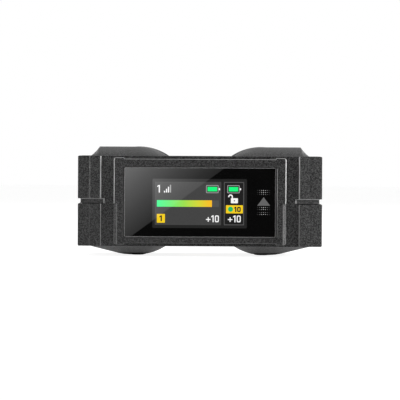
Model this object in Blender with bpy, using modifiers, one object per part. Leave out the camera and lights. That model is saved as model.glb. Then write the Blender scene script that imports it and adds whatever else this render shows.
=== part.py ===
"""Wireless receiver unit: a display head on a two-part case with two round battery bays.

Metres, +Z up, the display faces -Y. The origin is under the middle of the unit, on the surface it
stands on.
Pieces are placed by how far they lie across (X), behind the bezel's front face (depth) and above the
battery axis (height).
"""

import math

import bmesh
import bpy

# Clearances
GAP = 0.0003
SEAM_GAP = 0.00015
CUT = 0.002

# Glass and bezel
GLASS_WIDTH = 0.0350
GLASS_HEIGHT = 0.01595
GLASS_THICKNESS = 0.0011
GLASS_INSET = 0.00035
GLASS_DROP = 0.00033
GLASS_CORNER = 0.0003
GASKET_THICKNESS = 0.0004
LEDGE_THICKNESS = 0.00095
LEDGE_SIDE = 0.0014
LEDGE_END = 0.0012
BEZEL_PLATE = 0.0006
BEZEL_RIM = 0.0007
BEZEL_FLANGE_SIDE = 0.0014
BEZEL_FLANGE_END = 0.00072
BEZEL_CORNER = 0.0005
BEZEL_NOTCH_DEPTH = 0.0003
BEZEL_CHAMFER_WIDTH = 0.0007
BEZEL_CHAMFER_DEPTH = 0.0004

# Case
WALL = 0.0018
FRONT_SKIN = 0.0008
EDGE_ROUND = 0.00025
STRIP_WIDTH = 0.0029
BLOCK_WIDTH = 0.0054
BLOCK_STEP = 0.0004
BLOCK_FALL = 0.0010
CREASE_INSET = 0.0027
CREASE_DEPTH = 0.00009
SEAM_DROP = 0.0006
GROOVE_HEIGHT = 0.00112
GROOVE_DEPTH = 0.00055
GROOVE_SIDE_DEPTH = 0.0006
GROOVE_INSET = 0.00065
REAR_BLOCK = 0.0048
SHELL_PAST_CELL = 0.0008
BULKHEAD_THICKNESS = 0.0020

# Lobes over the battery bays
LOBE_WALL = 0.0020
LOBE_SINK = 0.0004
LOBE_ROOT = 0.0012
LOBE_NOSE = 0.0120
LOBE_NOSE_START = 0.0020
LOBE_NOSE_EASE = 1.7
UPPER_SHOULDER_RADIUS = 0.0112
UPPER_FLAT = 0.0088
UPPER_FLANK = 0.0030
UPPER_FLANK_EASE = 1.6
LOWER_SHOULDER_RADIUS = 0.0120
LOWER_FLAT = 0.0016
LOWER_SLOPE = math.radians(14)
ARC_STEPS = 6
SLOPE_STEPS = 2
FLANK_STEPS = 6
NOSE_STEPS = 7

# Display and boards
DISPLAY_WIDTH = 0.0265
DISPLAY_HEIGHT = 0.0132
DISPLAY_THICKNESS = 0.0018
DISPLAY_SHIFT = -0.00015
DISPLAY_DROP = 0.00062
KEY_GUIDE_HEIGHT = 0.0090
KEY_GUIDE_THICKNESS = 0.0012
BOARD_SPACE = 0.00265
BOARD_THICKNESS = 0.0012
SHIELD_WIDTH = 0.0130
SHIELD_HEIGHT = 0.0110
SHIELD_THICKNESS = 0.0018
FLEX_WIDTH = 0.0090
FLEX_THICKNESS = 0.00016
FLEX_REACH = 0.0034
FLEX_STEPS = 8

# Ports in the side walls
USB_WIDTH = 0.00894
USB_THICKNESS = 0.0032
USB_LENGTH = 0.0073
USB_WALL = 0.0004
USB_TONGUE = 0.0007
JACK_HEIGHT = 0.0050
JACK_LENGTH = 0.0076
JACK_NOSE_RADIUS = 0.0021
JACK_BORE_RADIUS = 0.0018
JACK_RISE = 0.0050
PORT_INSET = 0.0001

# Antennas
ANTENNA_THICKNESS = 0.0005
ANTENNA_LENGTH = 0.0260
ANTENNA_HEIGHT = 0.0100
ANTENNA_START = 0.0140

# Batteries
CELL_RADIUS = 0.00915
CELL_LENGTH = 0.0350
CELL_NUB_RADIUS = 0.0028
CELL_NUB_LENGTH = 0.0012
TUBE_CLEARANCE = 0.0003
TUBE_WALL = 0.0008
TUBE_SPACE = 0.0020
TUBE_LIP = 0.0005
TUBE_LIP_WIDTH = 0.0016
CENTRE_SPACE = 0.0043
CONTACT_THICKNESS = 0.0006
SPRING_SPACE = 0.0022
SPRING_WIRE_RADIUS = 0.00025
SPRING_TURNS = 2.5
SPRING_OUTER_RADIUS = 0.0060
SPRING_INNER_RADIUS = 0.0030
SPRING_TURN_STEPS = 12
CAP_CONTACT_RADIUS = 0.0060
CAP_CONTACT_THICKNESS = 0.0005
CAP_OVERLAP = 0.00205
CAP_RIM_THICKNESS = 0.0016
CAP_GRIP_THICKNESS = 0.0019
CAP_GRIP_STEP = 0.0010
CAP_ROUND = 0.0004
CAP_FLOOR_GAP = 0.00015
CAP_SCALLOPS = 10
CAP_SCALLOP_RADIUS = 0.0016
CAP_SCALLOP_DEPTH = 0.0007
CAP_SLOT_LENGTH = 0.0140
CAP_SLOT_WIDTH = 0.0018
CAP_SLOT_DEPTH = 0.0013
CAP_LIP_THICKNESS = 0.0008
SEAL_RADIUS = 0.0004
SEAL_TUBE_GAP = 0.00025
SEAL_STEPS = 6

# Keys on the top deck
KEY_BOARD_THICKNESS = 0.0010
KEY_BOARD_LENGTH = 0.0200
KEY_BOARD_START = 0.0155
KEY_POST_RADIUS = 0.0013
KEY_POST_INSET = 0.0016
SWITCH_SIDE = 0.0045
SWITCH_HEIGHT = 0.0014
SWITCH_WELL_DEPTH = 0.0010
SWITCH_WELL_CLEARANCE = 0.0003
BUTTON_WIDTH = 0.0080
BUTTON_LENGTH = 0.0040
BUTTON_TRAVEL = 0.0004
BUTTON_INSET = 0.00005
BUTTON_FLANGE = 0.0006
BUTTON_FLANGE_THICKNESS = 0.0005
BUTTON_STEM_RADIUS = 0.0010
BUTTON_STEM_DIP = 0.0002
BUTTON_STARTS = {"power": 0.0055, "link": 0.0120}
LIGHT_PIPE_RADIUS = 0.0010
LIGHT_PIPE_START = 0.0160

# Fasteners, camera thread and feet
CASE_SCREW_RADIUS = 0.0009
CASE_SCREW_HEAD_RADIUS = 0.0018
CASE_SCREW_HEAD = 0.0012
CASE_SCREW_RISE = 0.0036
CASE_BOSS_RADIUS = 0.0026
CASE_SCREW_DEPTHS = {"front": 0.0122, "rear": 0.0405}
BULKHEAD_SCREW_RADIUS = 0.0007
BULKHEAD_SCREW_HEAD_RADIUS = 0.0014
BULKHEAD_SCREW_HEAD = 0.0009
BULKHEAD_SCREW_REACH = 0.0030
BULKHEAD_SCREW_INSET = 0.0021
DRIVE_WIDTH = 0.0010
DRIVE_DEPTH = 0.0005
SCREW_INSET = 0.0002
INSERT_RADIUS = 0.0041
INSERT_BORE_RADIUS = 0.0026
INSERT_BOSS_WALL = 0.0012
INSERT_DEPTH = 0.0260
INSERT_INSET = 0.0001
FOOT_WIDTH = 0.0040
FOOT_LENGTH = 0.0240
FOOT_START = 0.0200
FOOT_SINK = 0.0003

ROUND_STEPS = 36
SMALL_ROUND_STEPS = 16
CORNER_STEPS = 3
SIDES = {"left": -1, "right": 1}

# Depths, from the bezel's front face to the back of the caps
GLASS_BACK = GLASS_INSET + GLASS_THICKNESS
GASKET_FRONT = GLASS_BACK + GAP
LEDGE_FRONT = GASKET_FRONT + GASKET_THICKNESS + GAP
BEZEL_BACK = LEDGE_FRONT + LEDGE_THICKNESS
SHELL_FRONT = BEZEL_PLATE + GAP
BLOCK_FRONT = SHELL_FRONT - BLOCK_STEP
CAVITY_FRONT = SHELL_FRONT + WALL
DISPLAY_FRONT = GLASS_BACK + GAP
DISPLAY_BACK = DISPLAY_FRONT + DISPLAY_THICKNESS
BOARD_FRONT = DISPLAY_BACK + BOARD_SPACE
BOARD_BACK = BOARD_FRONT + BOARD_THICKNESS
BOARD_MIDDLE = (BOARD_FRONT + BOARD_BACK) / 2
TUBE_FRONT = BOARD_BACK + TUBE_SPACE
CONTACT_FRONT = TUBE_FRONT + TUBE_LIP + GAP
CONTACT_BACK = CONTACT_FRONT + CONTACT_THICKNESS
CELL_FRONT = CONTACT_BACK + SPRING_SPACE
CELL_BACK = CELL_FRONT + CELL_LENGTH
CAP_CONTACT_FRONT = CELL_BACK + GAP
CAP_FRONT = CAP_CONTACT_FRONT + CAP_CONTACT_THICKNESS + GAP
SHELL_BACK = CELL_BACK + SHELL_PAST_CELL
BULKHEAD_FRONT = SHELL_BACK + GAP
BULKHEAD_BACK = BULKHEAD_FRONT + BULKHEAD_THICKNESS
TUBE_BACK = BULKHEAD_BACK + GAP
CAP_RIM_FRONT = TUBE_BACK + GAP
CAP_RIM_BACK = CAP_RIM_FRONT + CAP_RIM_THICKNESS
TOTAL_DEPTH = CAP_RIM_BACK + CAP_GRIP_THICKNESS
CAVITY_BACK = SHELL_BACK - REAR_BLOCK

# Widths and heights, from the middle and from the battery axis
PLUG_HALF_WIDTH = GLASS_WIDTH / 2 + GAP + BEZEL_RIM
PLUG_HALF_HEIGHT = GLASS_HEIGHT / 2 + GAP + GLASS_DROP + BEZEL_RIM
BEZEL_HALF_WIDTH = PLUG_HALF_WIDTH + BEZEL_FLANGE_SIDE
BEZEL_HALF_HEIGHT = PLUG_HALF_HEIGHT + BEZEL_FLANGE_END
WINDOW_HALF_WIDTH = GLASS_WIDTH / 2 + GAP - LEDGE_SIDE
WINDOW_HALF_HEIGHT = GLASS_HEIGHT / 2 + GAP - LEDGE_END
BLOCK_INNER = BEZEL_HALF_WIDTH + STRIP_WIDTH
HALF_WIDTH = BLOCK_INNER + BLOCK_WIDTH
DECK = PLUG_HALF_HEIGHT + GAP + FRONT_SKIN
CAVITY_HALF_WIDTH = HALF_WIDTH - WALL
CAVITY_HALF_HEIGHT = DECK - WALL
TUBE_INNER_RADIUS = CELL_RADIUS + TUBE_CLEARANCE
TUBE_OUTER_RADIUS = TUBE_INNER_RADIUS + TUBE_WALL
BORE_RADIUS = TUBE_OUTER_RADIUS + GAP
TUBE_OFFSET = TUBE_OUTER_RADIUS + CENTRE_SPACE
LOBE_CREST = BORE_RADIUS + LOBE_WALL
CAP_RADIUS = BORE_RADIUS + CAP_OVERLAP
AXIS_HEIGHT = CAP_RADIUS + CAP_FLOOR_GAP
BOARD_HALF_WIDTH = CAVITY_HALF_WIDTH - GAP
BOARD_HALF_HEIGHT = CAVITY_HALF_HEIGHT - GAP
USB_OUTER = HALF_WIDTH - GROOVE_SIDE_DEPTH - PORT_INSET
INSERT_BOSS_RADIUS = INSERT_RADIUS + GAP + INSERT_BOSS_WALL
KEY_FLANGE_TOP = CAVITY_HALF_HEIGHT - GAP
KEY_FLANGE_BOTTOM = KEY_FLANGE_TOP - BUTTON_FLANGE_THICKNESS
SWITCH_TOP = KEY_FLANGE_BOTTOM - BUTTON_TRAVEL - GAP
SWITCH_BOTTOM = SWITCH_TOP - SWITCH_HEIGHT
KEY_BOARD_TOP = SWITCH_BOTTOM - GAP
KEY_BOARD_BOTTOM = KEY_BOARD_TOP - KEY_BOARD_THICKNESS
KEY_BOARD_END = KEY_BOARD_START + KEY_BOARD_LENGTH

# Colour, roughness and metallic value of each finish
FINISHES = {
    "case_plastic": ((0.040, 0.040, 0.041), 0.62, 0.0),
    "window_glass": ((0.006, 0.006, 0.007), 0.05, 0.0),
    "black_rubber": ((0.020, 0.020, 0.021), 0.85, 0.0),
    "display_face": ((0.012, 0.013, 0.015), 0.25, 0.0),
    "clear_plastic": ((0.550, 0.560, 0.570), 0.30, 0.0),
    "flex_film": ((0.420, 0.200, 0.050), 0.40, 0.0),
    "circuit_board": ((0.012, 0.090, 0.045), 0.45, 0.0),
    "bright_steel": ((0.560, 0.570, 0.580), 0.28, 1.0),
    "gold_contact": ((0.780, 0.560, 0.200), 0.30, 1.0),
    "black_plastic": ((0.025, 0.025, 0.026), 0.50, 0.0),
    "cell_wrap": ((0.030, 0.120, 0.300), 0.35, 0.0),
    "cap_metal": ((0.090, 0.092, 0.095), 0.42, 1.0),
    "brass": ((0.720, 0.500, 0.190), 0.32, 1.0),
}


def y_at(depth):
    return depth - TOTAL_DEPTH / 2


def z_at(height):
    return AXIS_HEIGHT + height


def tube_edge(height):
    """How far from the middle a battery tube's inner side lies, at this height."""
    return TUBE_OFFSET - math.sqrt(TUBE_OUTER_RADIUS**2 - height**2)


def clear_scene():
    for obj in list(bpy.data.objects):
        bpy.data.objects.remove(obj, do_unlink=True)


def new_collection(name):
    collection = bpy.data.collections.new(name)
    bpy.context.scene.collection.children.link(collection)
    return collection


clear_scene()
PARTS = new_collection("wireless_receiver")
CUTTERS = new_collection("cutters")


def new_empty(name, across=0.0, y=0.0, z=0.0):
    empty = bpy.data.objects.new(name, None)
    empty.location = (across, y, z)
    empty.empty_display_size = 0.005
    PARTS.objects.link(empty)
    return empty


UNIT = new_empty("receiver_unit")


def material(finish):
    made = bpy.data.materials.get(finish)
    if made:
        return made
    colour, roughness, metallic = FINISHES[finish]
    made = bpy.data.materials.new(finish)
    made.use_nodes = True
    shader = made.node_tree.nodes["Principled BSDF"]
    shader.inputs["Base Color"].default_value = (*colour, 1.0)
    shader.inputs["Roughness"].default_value = roughness
    shader.inputs["Metallic"].default_value = metallic
    made.diffuse_color = (*colour, 1.0)
    return made


def add_object(name, data, finish):
    """A part of the unit where a finish is given, and otherwise a cutter."""
    obj = bpy.data.objects.new(name, data)
    if finish:
        PARTS.objects.link(obj)
        data.materials.append(material(finish))
        obj.parent = UNIT
    else:
        CUTTERS.objects.link(obj)
        obj.hide_render = True
        obj.display_type = "WIRE"
    return obj


def bevel(obj, width, segments=2):
    rounding = obj.modifiers.new("rounded_edges", "BEVEL")
    rounding.width = width
    rounding.segments = segments
    rounding.limit_method = "ANGLE"
    rounding.angle_limit = math.radians(40)


def combine(obj, operation, other):
    boolean = obj.modifiers.new(other.name, "BOOLEAN")
    boolean.operation = operation
    boolean.solver = "EXACT"
    boolean.object = other


def cut(obj, *others):
    for other in others:
        combine(obj, "DIFFERENCE", other)


def join(obj, *others):
    for other in others:
        combine(obj, "UNION", other)


def block(name, across, depth, height, finish=None):
    """A box between two values across, two depths and two heights."""
    lows = (across[0], y_at(depth[0]), z_at(height[0]))
    highs = (across[1], y_at(depth[1]), z_at(height[1]))
    mesh = bpy.data.meshes.new(name)
    cube = bmesh.new()
    bmesh.ops.create_cube(cube, size=1.0)
    bmesh.ops.scale(cube, vec=[high - low for low, high in zip(lows, highs)], verts=cube.verts)
    cube.to_mesh(mesh)
    cube.free()
    obj = add_object(name, mesh, finish)
    obj.location = [(low + high) / 2 for low, high in zip(lows, highs)]
    return obj


def rod(name, axis, ends, centre, radius, finish=None, steps=SMALL_ROUND_STEPS):
    """A cylinder along one axis. Its centre holds the other two of across, depth and height."""
    mesh = bpy.data.meshes.new(name)
    cylinder = bmesh.new()
    bmesh.ops.create_cone(
        cylinder,
        cap_ends=True,
        segments=steps,
        radius1=radius,
        radius2=radius,
        depth=ends[1] - ends[0],
    )
    cylinder.to_mesh(mesh)
    cylinder.free()
    mesh.shade_smooth()
    mesh.set_sharp_from_angle(angle=math.radians(35))
    obj = add_object(name, mesh, finish)
    middle = (ends[0] + ends[1]) / 2
    if axis == "across":
        obj.rotation_euler = (0, math.pi / 2, 0)
        obj.location = (middle, y_at(centre[0]), z_at(centre[1]))
    elif axis == "depth":
        obj.rotation_euler = (-math.pi / 2, 0, 0)
        obj.location = (centre[0], y_at(middle), z_at(centre[1]))
    else:
        obj.location = (centre[0], y_at(centre[1]), z_at(middle))
    return obj


def turned(name, profile, axis, centre, finish=None, closed=False, steps=ROUND_STEPS):
    """A shape turned about one axis, from points of radius and place that run from back or top."""
    mesh = bpy.data.meshes.new(name)
    count = len(profile)
    edges = [(i, i + 1) for i in range(count - 1)]
    if closed:
        edges.append((count - 1, 0))
    mesh.from_pydata([(radius, 0, place) for radius, place in profile], edges, [])
    obj = add_object(name, mesh, finish)
    if axis == "depth":
        obj.rotation_euler = (-math.pi / 2, 0, 0)
        obj.location = (centre[0], y_at(0), z_at(centre[1]))
    else:
        obj.location = (centre[0], y_at(centre[1]), z_at(0))
    screw = obj.modifiers.new("turned", "SCREW")
    screw.axis = "Z"
    screw.angle = math.tau
    screw.steps = steps
    screw.render_steps = steps
    screw.use_merge_vertices = True
    screw.merge_threshold = 0.00001
    return obj


def rounded_rectangle(width, height, radius, centre=(0, 0)):
    points = []
    corners = ((1, 1, 0), (-1, 1, 90), (-1, -1, 180), (1, -1, 270))
    for side, end, start in corners:
        for step in range(CORNER_STEPS + 1):
            angle = math.radians(start + 90 * step / CORNER_STEPS)
            x = centre[0] + side * (width / 2 - radius) + radius * math.cos(angle)
            y = centre[1] + end * (height / 2 - radius) + radius * math.sin(angle)
            points.append((x, y))
    return points


def pill(width, length):
    points = []
    for side, start in ((1, -90), (-1, 90)):
        for step in range(SMALL_ROUND_STEPS // 2 + 1):
            angle = math.radians(start + 360 * step / SMALL_ROUND_STEPS)
            x = side * (width - length) / 2 + length / 2 * math.cos(angle)
            points.append((x, length / 2 * math.sin(angle)))
    return points


def upright_pill(height, width):
    return [(across, along) for along, across in pill(height, width)]


def outlined(name, outlines, ends, facing, finish=None, centre=(0, 0)):
    """Flat outlines, the later ones holes, given thickness along one direction.

    The ends are two depths ("front"), two heights ("deck") or two values across ("side").
    """
    curve = bpy.data.curves.new(name, "CURVE")
    curve.dimensions = "2D"
    curve.fill_mode = "BOTH"
    curve.extrude = (ends[1] - ends[0]) / 2
    for outline in outlines:
        spline = curve.splines.new("POLY")
        spline.points.add(len(outline) - 1)
        for point, place in zip(spline.points, outline):
            point.co = (*place, 0, 1)
        spline.use_cyclic_u = True
    source = bpy.data.objects.new(name + "_outline", curve)
    CUTTERS.objects.link(source)
    bpy.context.view_layer.update()
    graph = bpy.context.evaluated_depsgraph_get()
    mesh = bpy.data.meshes.new_from_object(source.evaluated_get(graph))
    bpy.data.objects.remove(source)
    welded = bmesh.new()
    welded.from_mesh(mesh)
    bmesh.ops.remove_doubles(welded, verts=welded.verts, dist=0.000001)
    bmesh.ops.recalc_face_normals(welded, faces=welded.faces)
    welded.to_mesh(mesh)
    welded.free()
    mesh.name = name
    obj = add_object(name, mesh, finish)
    middle = (ends[0] + ends[1]) / 2
    if facing == "front":
        obj.rotation_euler = (math.pi / 2, 0, 0)
        obj.location = (centre[0], y_at(middle), z_at(centre[1]))
    elif facing == "side":
        obj.rotation_euler = (math.pi / 2, 0, math.pi / 2)
        obj.location = (middle, y_at(centre[0]), z_at(centre[1]))
    else:
        obj.location = (centre[0], y_at(centre[1]), z_at(middle))
    return obj


def loft(name, sections, finish=None):
    """A solid through closed sections that all have the same number of points."""
    mesh = bpy.data.meshes.new(name)
    solid = bmesh.new()
    rings = [[solid.verts.new(point) for point in section] for section in sections]
    count = len(rings[0])
    for first, second in zip(rings, rings[1:]):
        for i in range(count):
            after = (i + 1) % count
            solid.faces.new((first[i], first[after], second[after], second[i]))
    solid.faces.new(rings[0])
    solid.faces.new(rings[-1])
    bmesh.ops.recalc_face_normals(solid, faces=solid.faces)
    solid.to_mesh(mesh)
    solid.free()
    return add_object(name, mesh, finish)


def eased(share, ease):
    """From 0 to 1, fast at first and slow at the end."""
    return 1 - (1 - share) ** ease


def upper_lobe_profile():
    """Across and height, from the inner shoulder over the flat top and down the outer flank."""
    sunk = DECK - LOBE_SINK
    centre = LOBE_CREST - UPPER_SHOULDER_RADIUS
    start = math.asin((sunk - centre) / UPPER_SHOULDER_RADIUS)
    points = []
    for step in range(ARC_STEPS + 1):
        angle = start + (math.pi / 2 - start) * step / ARC_STEPS
        across = TUBE_OFFSET - UPPER_SHOULDER_RADIUS * math.cos(angle)
        points.append((across, centre + UPPER_SHOULDER_RADIUS * math.sin(angle)))
    for step in range(FLANK_STEPS + 1):
        share = step / FLANK_STEPS
        fall = eased(share, UPPER_FLANK_EASE)
        across = TUBE_OFFSET + UPPER_FLAT + UPPER_FLANK * share
        points.append((across, LOBE_CREST - (LOBE_CREST - sunk) * fall))
    return points


def lower_lobe_profile():
    """Across and drop below the axis, from the inner shoulder past the crest to the long outer slope."""
    sunk = DECK - LOBE_SINK
    centre = LOBE_CREST - LOWER_SHOULDER_RADIUS
    start = math.asin((sunk - centre) / LOWER_SHOULDER_RADIUS)
    crest = math.pi / 2
    arcs = [
        (start, crest, TUBE_OFFSET, ARC_STEPS),
        (crest, crest + LOWER_SLOPE, TUBE_OFFSET + LOWER_FLAT, SLOPE_STEPS),
    ]
    points = []
    for first, last, middle, steps in arcs:
        for step in range(steps + 1):
            angle = first + (last - first) * step / steps
            across = middle - LOWER_SHOULDER_RADIUS * math.cos(angle)
            points.append((across, centre + LOWER_SHOULDER_RADIUS * math.sin(angle)))
    last_across, last_drop = points[-1]
    points.append((last_across + (last_drop - sunk) / math.tan(LOWER_SLOPE), sunk))
    return points


def lobe(name, profile, side, up):
    """A lobe that rises behind the front and runs to the back, its edges and root sunk in the deck."""
    sunk = DECK - LOBE_SINK
    root = DECK - LOBE_ROOT
    stations = []
    for step in range(NOSE_STEPS + 1):
        share = step / NOSE_STEPS
        stations.append((LOBE_NOSE_START + LOBE_NOSE * share, eased(share, LOBE_NOSE_EASE)))
    stations.append((BULKHEAD_BACK + CUT, 1.0))
    sections = []
    for depth, rise in stations:
        heights = [(across, sunk + (height - sunk) * rise) for across, height in profile]
        ring = [(profile[0][0], root)] + heights + [(profile[-1][0], root)]
        sections.append([(side * x, y_at(depth), z_at(up * height)) for x, height in ring])
    return loft(name, sections)


def outer_form():
    """The case's outside, with its lobes, running past the back so that shells and bulkhead share it."""
    form = block(
        "case_form",
        (-HALF_WIDTH, HALF_WIDTH),
        (BLOCK_FRONT, BULKHEAD_BACK + CUT),
        (-DECK, DECK),
    )
    bevel(form, EDGE_ROUND)
    for side_name, side in SIDES.items():
        join(form, lobe("upper_lobe_" + side_name, upper_lobe_profile(), side, 1))
        join(form, lobe("lower_lobe_" + side_name, lower_lobe_profile(), side, -1))
    across = (-BLOCK_INNER, BLOCK_INNER)
    cut(form, block("strip_step", across, (-CUT, SHELL_FRONT), (-LOBE_CREST, LOBE_CREST)))
    ends = (-LOBE_CREST, LOBE_CREST)
    centre = (0, TOTAL_DEPTH / 2)
    run = BLOCK_WIDTH + CUT
    fall = BLOCK_FALL * run / BLOCK_WIDTH
    crease = HALF_WIDTH - CREASE_INSET
    crease_front = BLOCK_FRONT + BLOCK_FALL * (BLOCK_WIDTH - CREASE_INSET) / BLOCK_WIDTH
    for side_name, side in SIDES.items():
        slant = [
            (side * BLOCK_INNER, y_at(-CUT)),
            (side * BLOCK_INNER, y_at(BLOCK_FRONT)),
            (side * (BLOCK_INNER + run), y_at(BLOCK_FRONT + fall)),
            (side * (BLOCK_INNER + run), y_at(-CUT)),
        ]
        cut(form, outlined("block_slant_" + side_name, [slant], ends, "deck", centre=centre))
        line = [
            (side * (crease - CREASE_DEPTH - CUT), y_at(crease_front - CUT)),
            (side * crease, y_at(crease_front + CREASE_DEPTH)),
            (side * (crease + CREASE_DEPTH + CUT), y_at(crease_front - CUT)),
        ]
        cut(form, outlined("block_crease_" + side_name, [line], ends, "deck", centre=centre))
    return form


def case_hollows():
    """What both shells are cut by: the bezel's opening, the hollow behind it and the battery bores."""
    opening_width = PLUG_HALF_WIDTH + GAP
    opening_height = PLUG_HALF_HEIGHT + GAP
    hollows = [
        block(
            "bezel_opening",
            (-opening_width, opening_width),
            (-CUT, BEZEL_BACK + GAP),
            (-opening_height, opening_height),
        ),
        block(
            "case_hollow",
            (-CAVITY_HALF_WIDTH, CAVITY_HALF_WIDTH),
            (CAVITY_FRONT, CAVITY_BACK),
            (-CAVITY_HALF_HEIGHT, CAVITY_HALF_HEIGHT),
        ),
    ]
    for side_name, side in SIDES.items():
        ends = (TUBE_FRONT - GAP, SHELL_BACK + CUT)
        centre = (side * TUBE_OFFSET, 0)
        name = "battery_bore_" + side_name
        hollows.append(rod(name, "depth", ends, centre, BORE_RADIUS, steps=ROUND_STEPS))
    opening = [upright_pill(USB_WIDTH + 2 * GAP, USB_THICKNESS + 2 * GAP)]
    ends = (-HALF_WIDTH - CUT, -CAVITY_HALF_WIDTH + CUT)
    hollows.append(outlined("usb_opening", opening, ends, "side", centre=(BOARD_MIDDLE, 0)))
    return hollows


def screw_profile(tip, seat, face, shank_radius, head_radius):
    profile = [
        (0, tip),
        (shank_radius, tip),
        (shank_radius, seat),
        (head_radius, seat),
        (head_radius, face),
        (0, face),
    ]
    return profile if tip > face else profile[::-1]


def cross_drive(screw, axis, face, outwards, centre, head_radius):
    """A cross recess in a screw's head."""
    long = head_radius - DRIVE_WIDTH / 2
    short = DRIVE_WIDTH / 2
    along = sorted((face - outwards * DRIVE_DEPTH, face + outwards * CUT))
    for number, (first, second) in enumerate(((long, short), (short, long))):
        across = (centre[0] - first, centre[0] + first)
        other = (centre[1] - second, centre[1] + second)
        name = f"{screw.name}_drive_{number}"
        if axis == "height":
            cut(screw, block(name, across, other, along))
        else:
            cut(screw, block(name, across, along, other))


def add_screw(name, axis, centre, tip, seat, face, shank_radius, head_radius):
    """A cross-head screw from its face to its tip. Returns the cutter that clears it."""
    profile = screw_profile(tip, seat, face, shank_radius, head_radius)
    screw = turned(name, profile, axis, centre, "bright_steel", steps=SMALL_ROUND_STEPS)
    inwards = 1 if tip > face else -1
    cross_drive(screw, axis, face, -inwards, centre, head_radius)
    clear_profile = screw_profile(
        tip + inwards * GAP,
        seat + inwards * GAP,
        face - inwards * CUT,
        shank_radius + GAP,
        head_radius + GAP,
    )
    return turned(name + "_hole", clear_profile, axis, centre, steps=SMALL_ROUND_STEPS)


def case_screws():
    """The two screws that clamp the shells, from below."""
    face = -DECK + SCREW_INSET
    seat = face + CASE_SCREW_HEAD
    sizes = (CASE_SCREW_RISE, seat, face, CASE_SCREW_RADIUS, CASE_SCREW_HEAD_RADIUS)
    places = CASE_SCREW_DEPTHS.items()
    return [add_screw(f"case_screw_{place}", "height", (0, depth), *sizes) for place, depth in places]


def bulkhead_screws():
    """The corner screws of the bulkhead, from behind: two in the upper shell, then two in the lower."""
    across = HALF_WIDTH - BULKHEAD_SCREW_INSET
    height = DECK - BULKHEAD_SCREW_INSET
    places = [(-across, height), (across, height), (-across, -height), (across, -height)]
    face = BULKHEAD_BACK - SCREW_INSET
    seat = face - BULKHEAD_SCREW_HEAD
    tip = SHELL_BACK - BULKHEAD_SCREW_REACH
    sizes = (tip, seat, face, BULKHEAD_SCREW_RADIUS, BULKHEAD_SCREW_HEAD_RADIUS)
    numbered = enumerate(places, 1)
    return [add_screw(f"bulkhead_screw_{number}", "depth", place, *sizes) for number, place in numbered]


def jack_opening(name, height):
    ends = (CAVITY_HALF_WIDTH - CUT, HALF_WIDTH + CUT)
    return rod(name, "across", ends, (BOARD_MIDDLE, height), JACK_NOSE_RADIUS + GAP)


def case_half(name, form, bottom, top):
    """The part of the case's outside between two heights."""
    across = (-HALF_WIDTH - CUT, HALF_WIDTH + CUT)
    half = block(name, across, (0, SHELL_BACK), (bottom, top), "case_plastic")
    combine(half, "INTERSECT", form)
    return half


def upper_shell(form, hollows, screw_holes):
    bottom = -SEAM_DROP + SEAM_GAP / 2
    shell = case_half("upper_shell", form, bottom, LOBE_CREST + CUT)
    cut(shell, *hollows)
    groove_top = -SEAM_DROP + GROOVE_HEIGHT
    heights = (bottom - CUT, groove_top)
    centre = (0, TOTAL_DEPTH / 2)
    floor = BLOCK_FRONT + GROOVE_DEPTH
    fall = BLOCK_FALL * (BLOCK_WIDTH + CUT) / BLOCK_WIDTH
    for side_name, side in SIDES.items():
        front = [
            (side * (BLOCK_INNER - GROOVE_INSET), y_at(-CUT)),
            (side * (BLOCK_INNER - GROOVE_INSET), y_at(floor)),
            (side * BLOCK_INNER, y_at(floor)),
            (side * (HALF_WIDTH + CUT), y_at(floor + fall)),
            (side * (HALF_WIDTH + CUT), y_at(-CUT)),
        ]
        cut(shell, outlined("front_groove_" + side_name, [front], heights, "deck", centre=centre))
        edge = sorted((side * (HALF_WIDTH - GROOVE_SIDE_DEPTH), side * (HALF_WIDTH + CUT)))
        cut(shell, block("side_groove_" + side_name, edge, (-CUT, SHELL_BACK + CUT), heights))
    ceiling = CAVITY_HALF_HEIGHT + WALL / 2
    for place, depth in CASE_SCREW_DEPTHS.items():
        join(shell, rod(f"upper_boss_{place}", "height", (bottom, ceiling), (0, depth), CASE_BOSS_RADIUS))
    ends = (KEY_BOARD_TOP + GAP, ceiling)
    for depth in (KEY_BOARD_START + KEY_POST_INSET, KEY_BOARD_END - KEY_POST_INSET):
        join(shell, rod("key_post", "height", ends, (0, depth), KEY_POST_RADIUS))
    cut(shell, *screw_holes)
    for name, start in BUTTON_STARTS.items():
        opening = [pill(BUTTON_WIDTH + 2 * GAP, BUTTON_LENGTH + 2 * GAP)]
        ends = (CAVITY_HALF_HEIGHT - GAP, DECK + CUT)
        centre = (0, KEY_BOARD_START + start)
        cut(shell, outlined(f"{name}_opening", opening, ends, "deck", centre=centre))
    centre = (0, KEY_BOARD_START + LIGHT_PIPE_START)
    ends = (CAVITY_HALF_HEIGHT - GAP, DECK + CUT)
    cut(shell, rod("light_pipe_opening", "height", ends, centre, LIGHT_PIPE_RADIUS + GAP))
    cut(shell, jack_opening("headphone_opening", JACK_RISE))


def insert_top():
    """The height at which the insert's boss would meet the battery tubes."""
    reach = TUBE_OFFSET - INSERT_BOSS_RADIUS - GAP
    return -math.sqrt(TUBE_OUTER_RADIUS**2 - reach**2)


def foot_floor():
    """The height of the foot pads' upper faces, a little above the lobes' lowest line."""
    return -LOBE_CREST + FOOT_SINK


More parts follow.
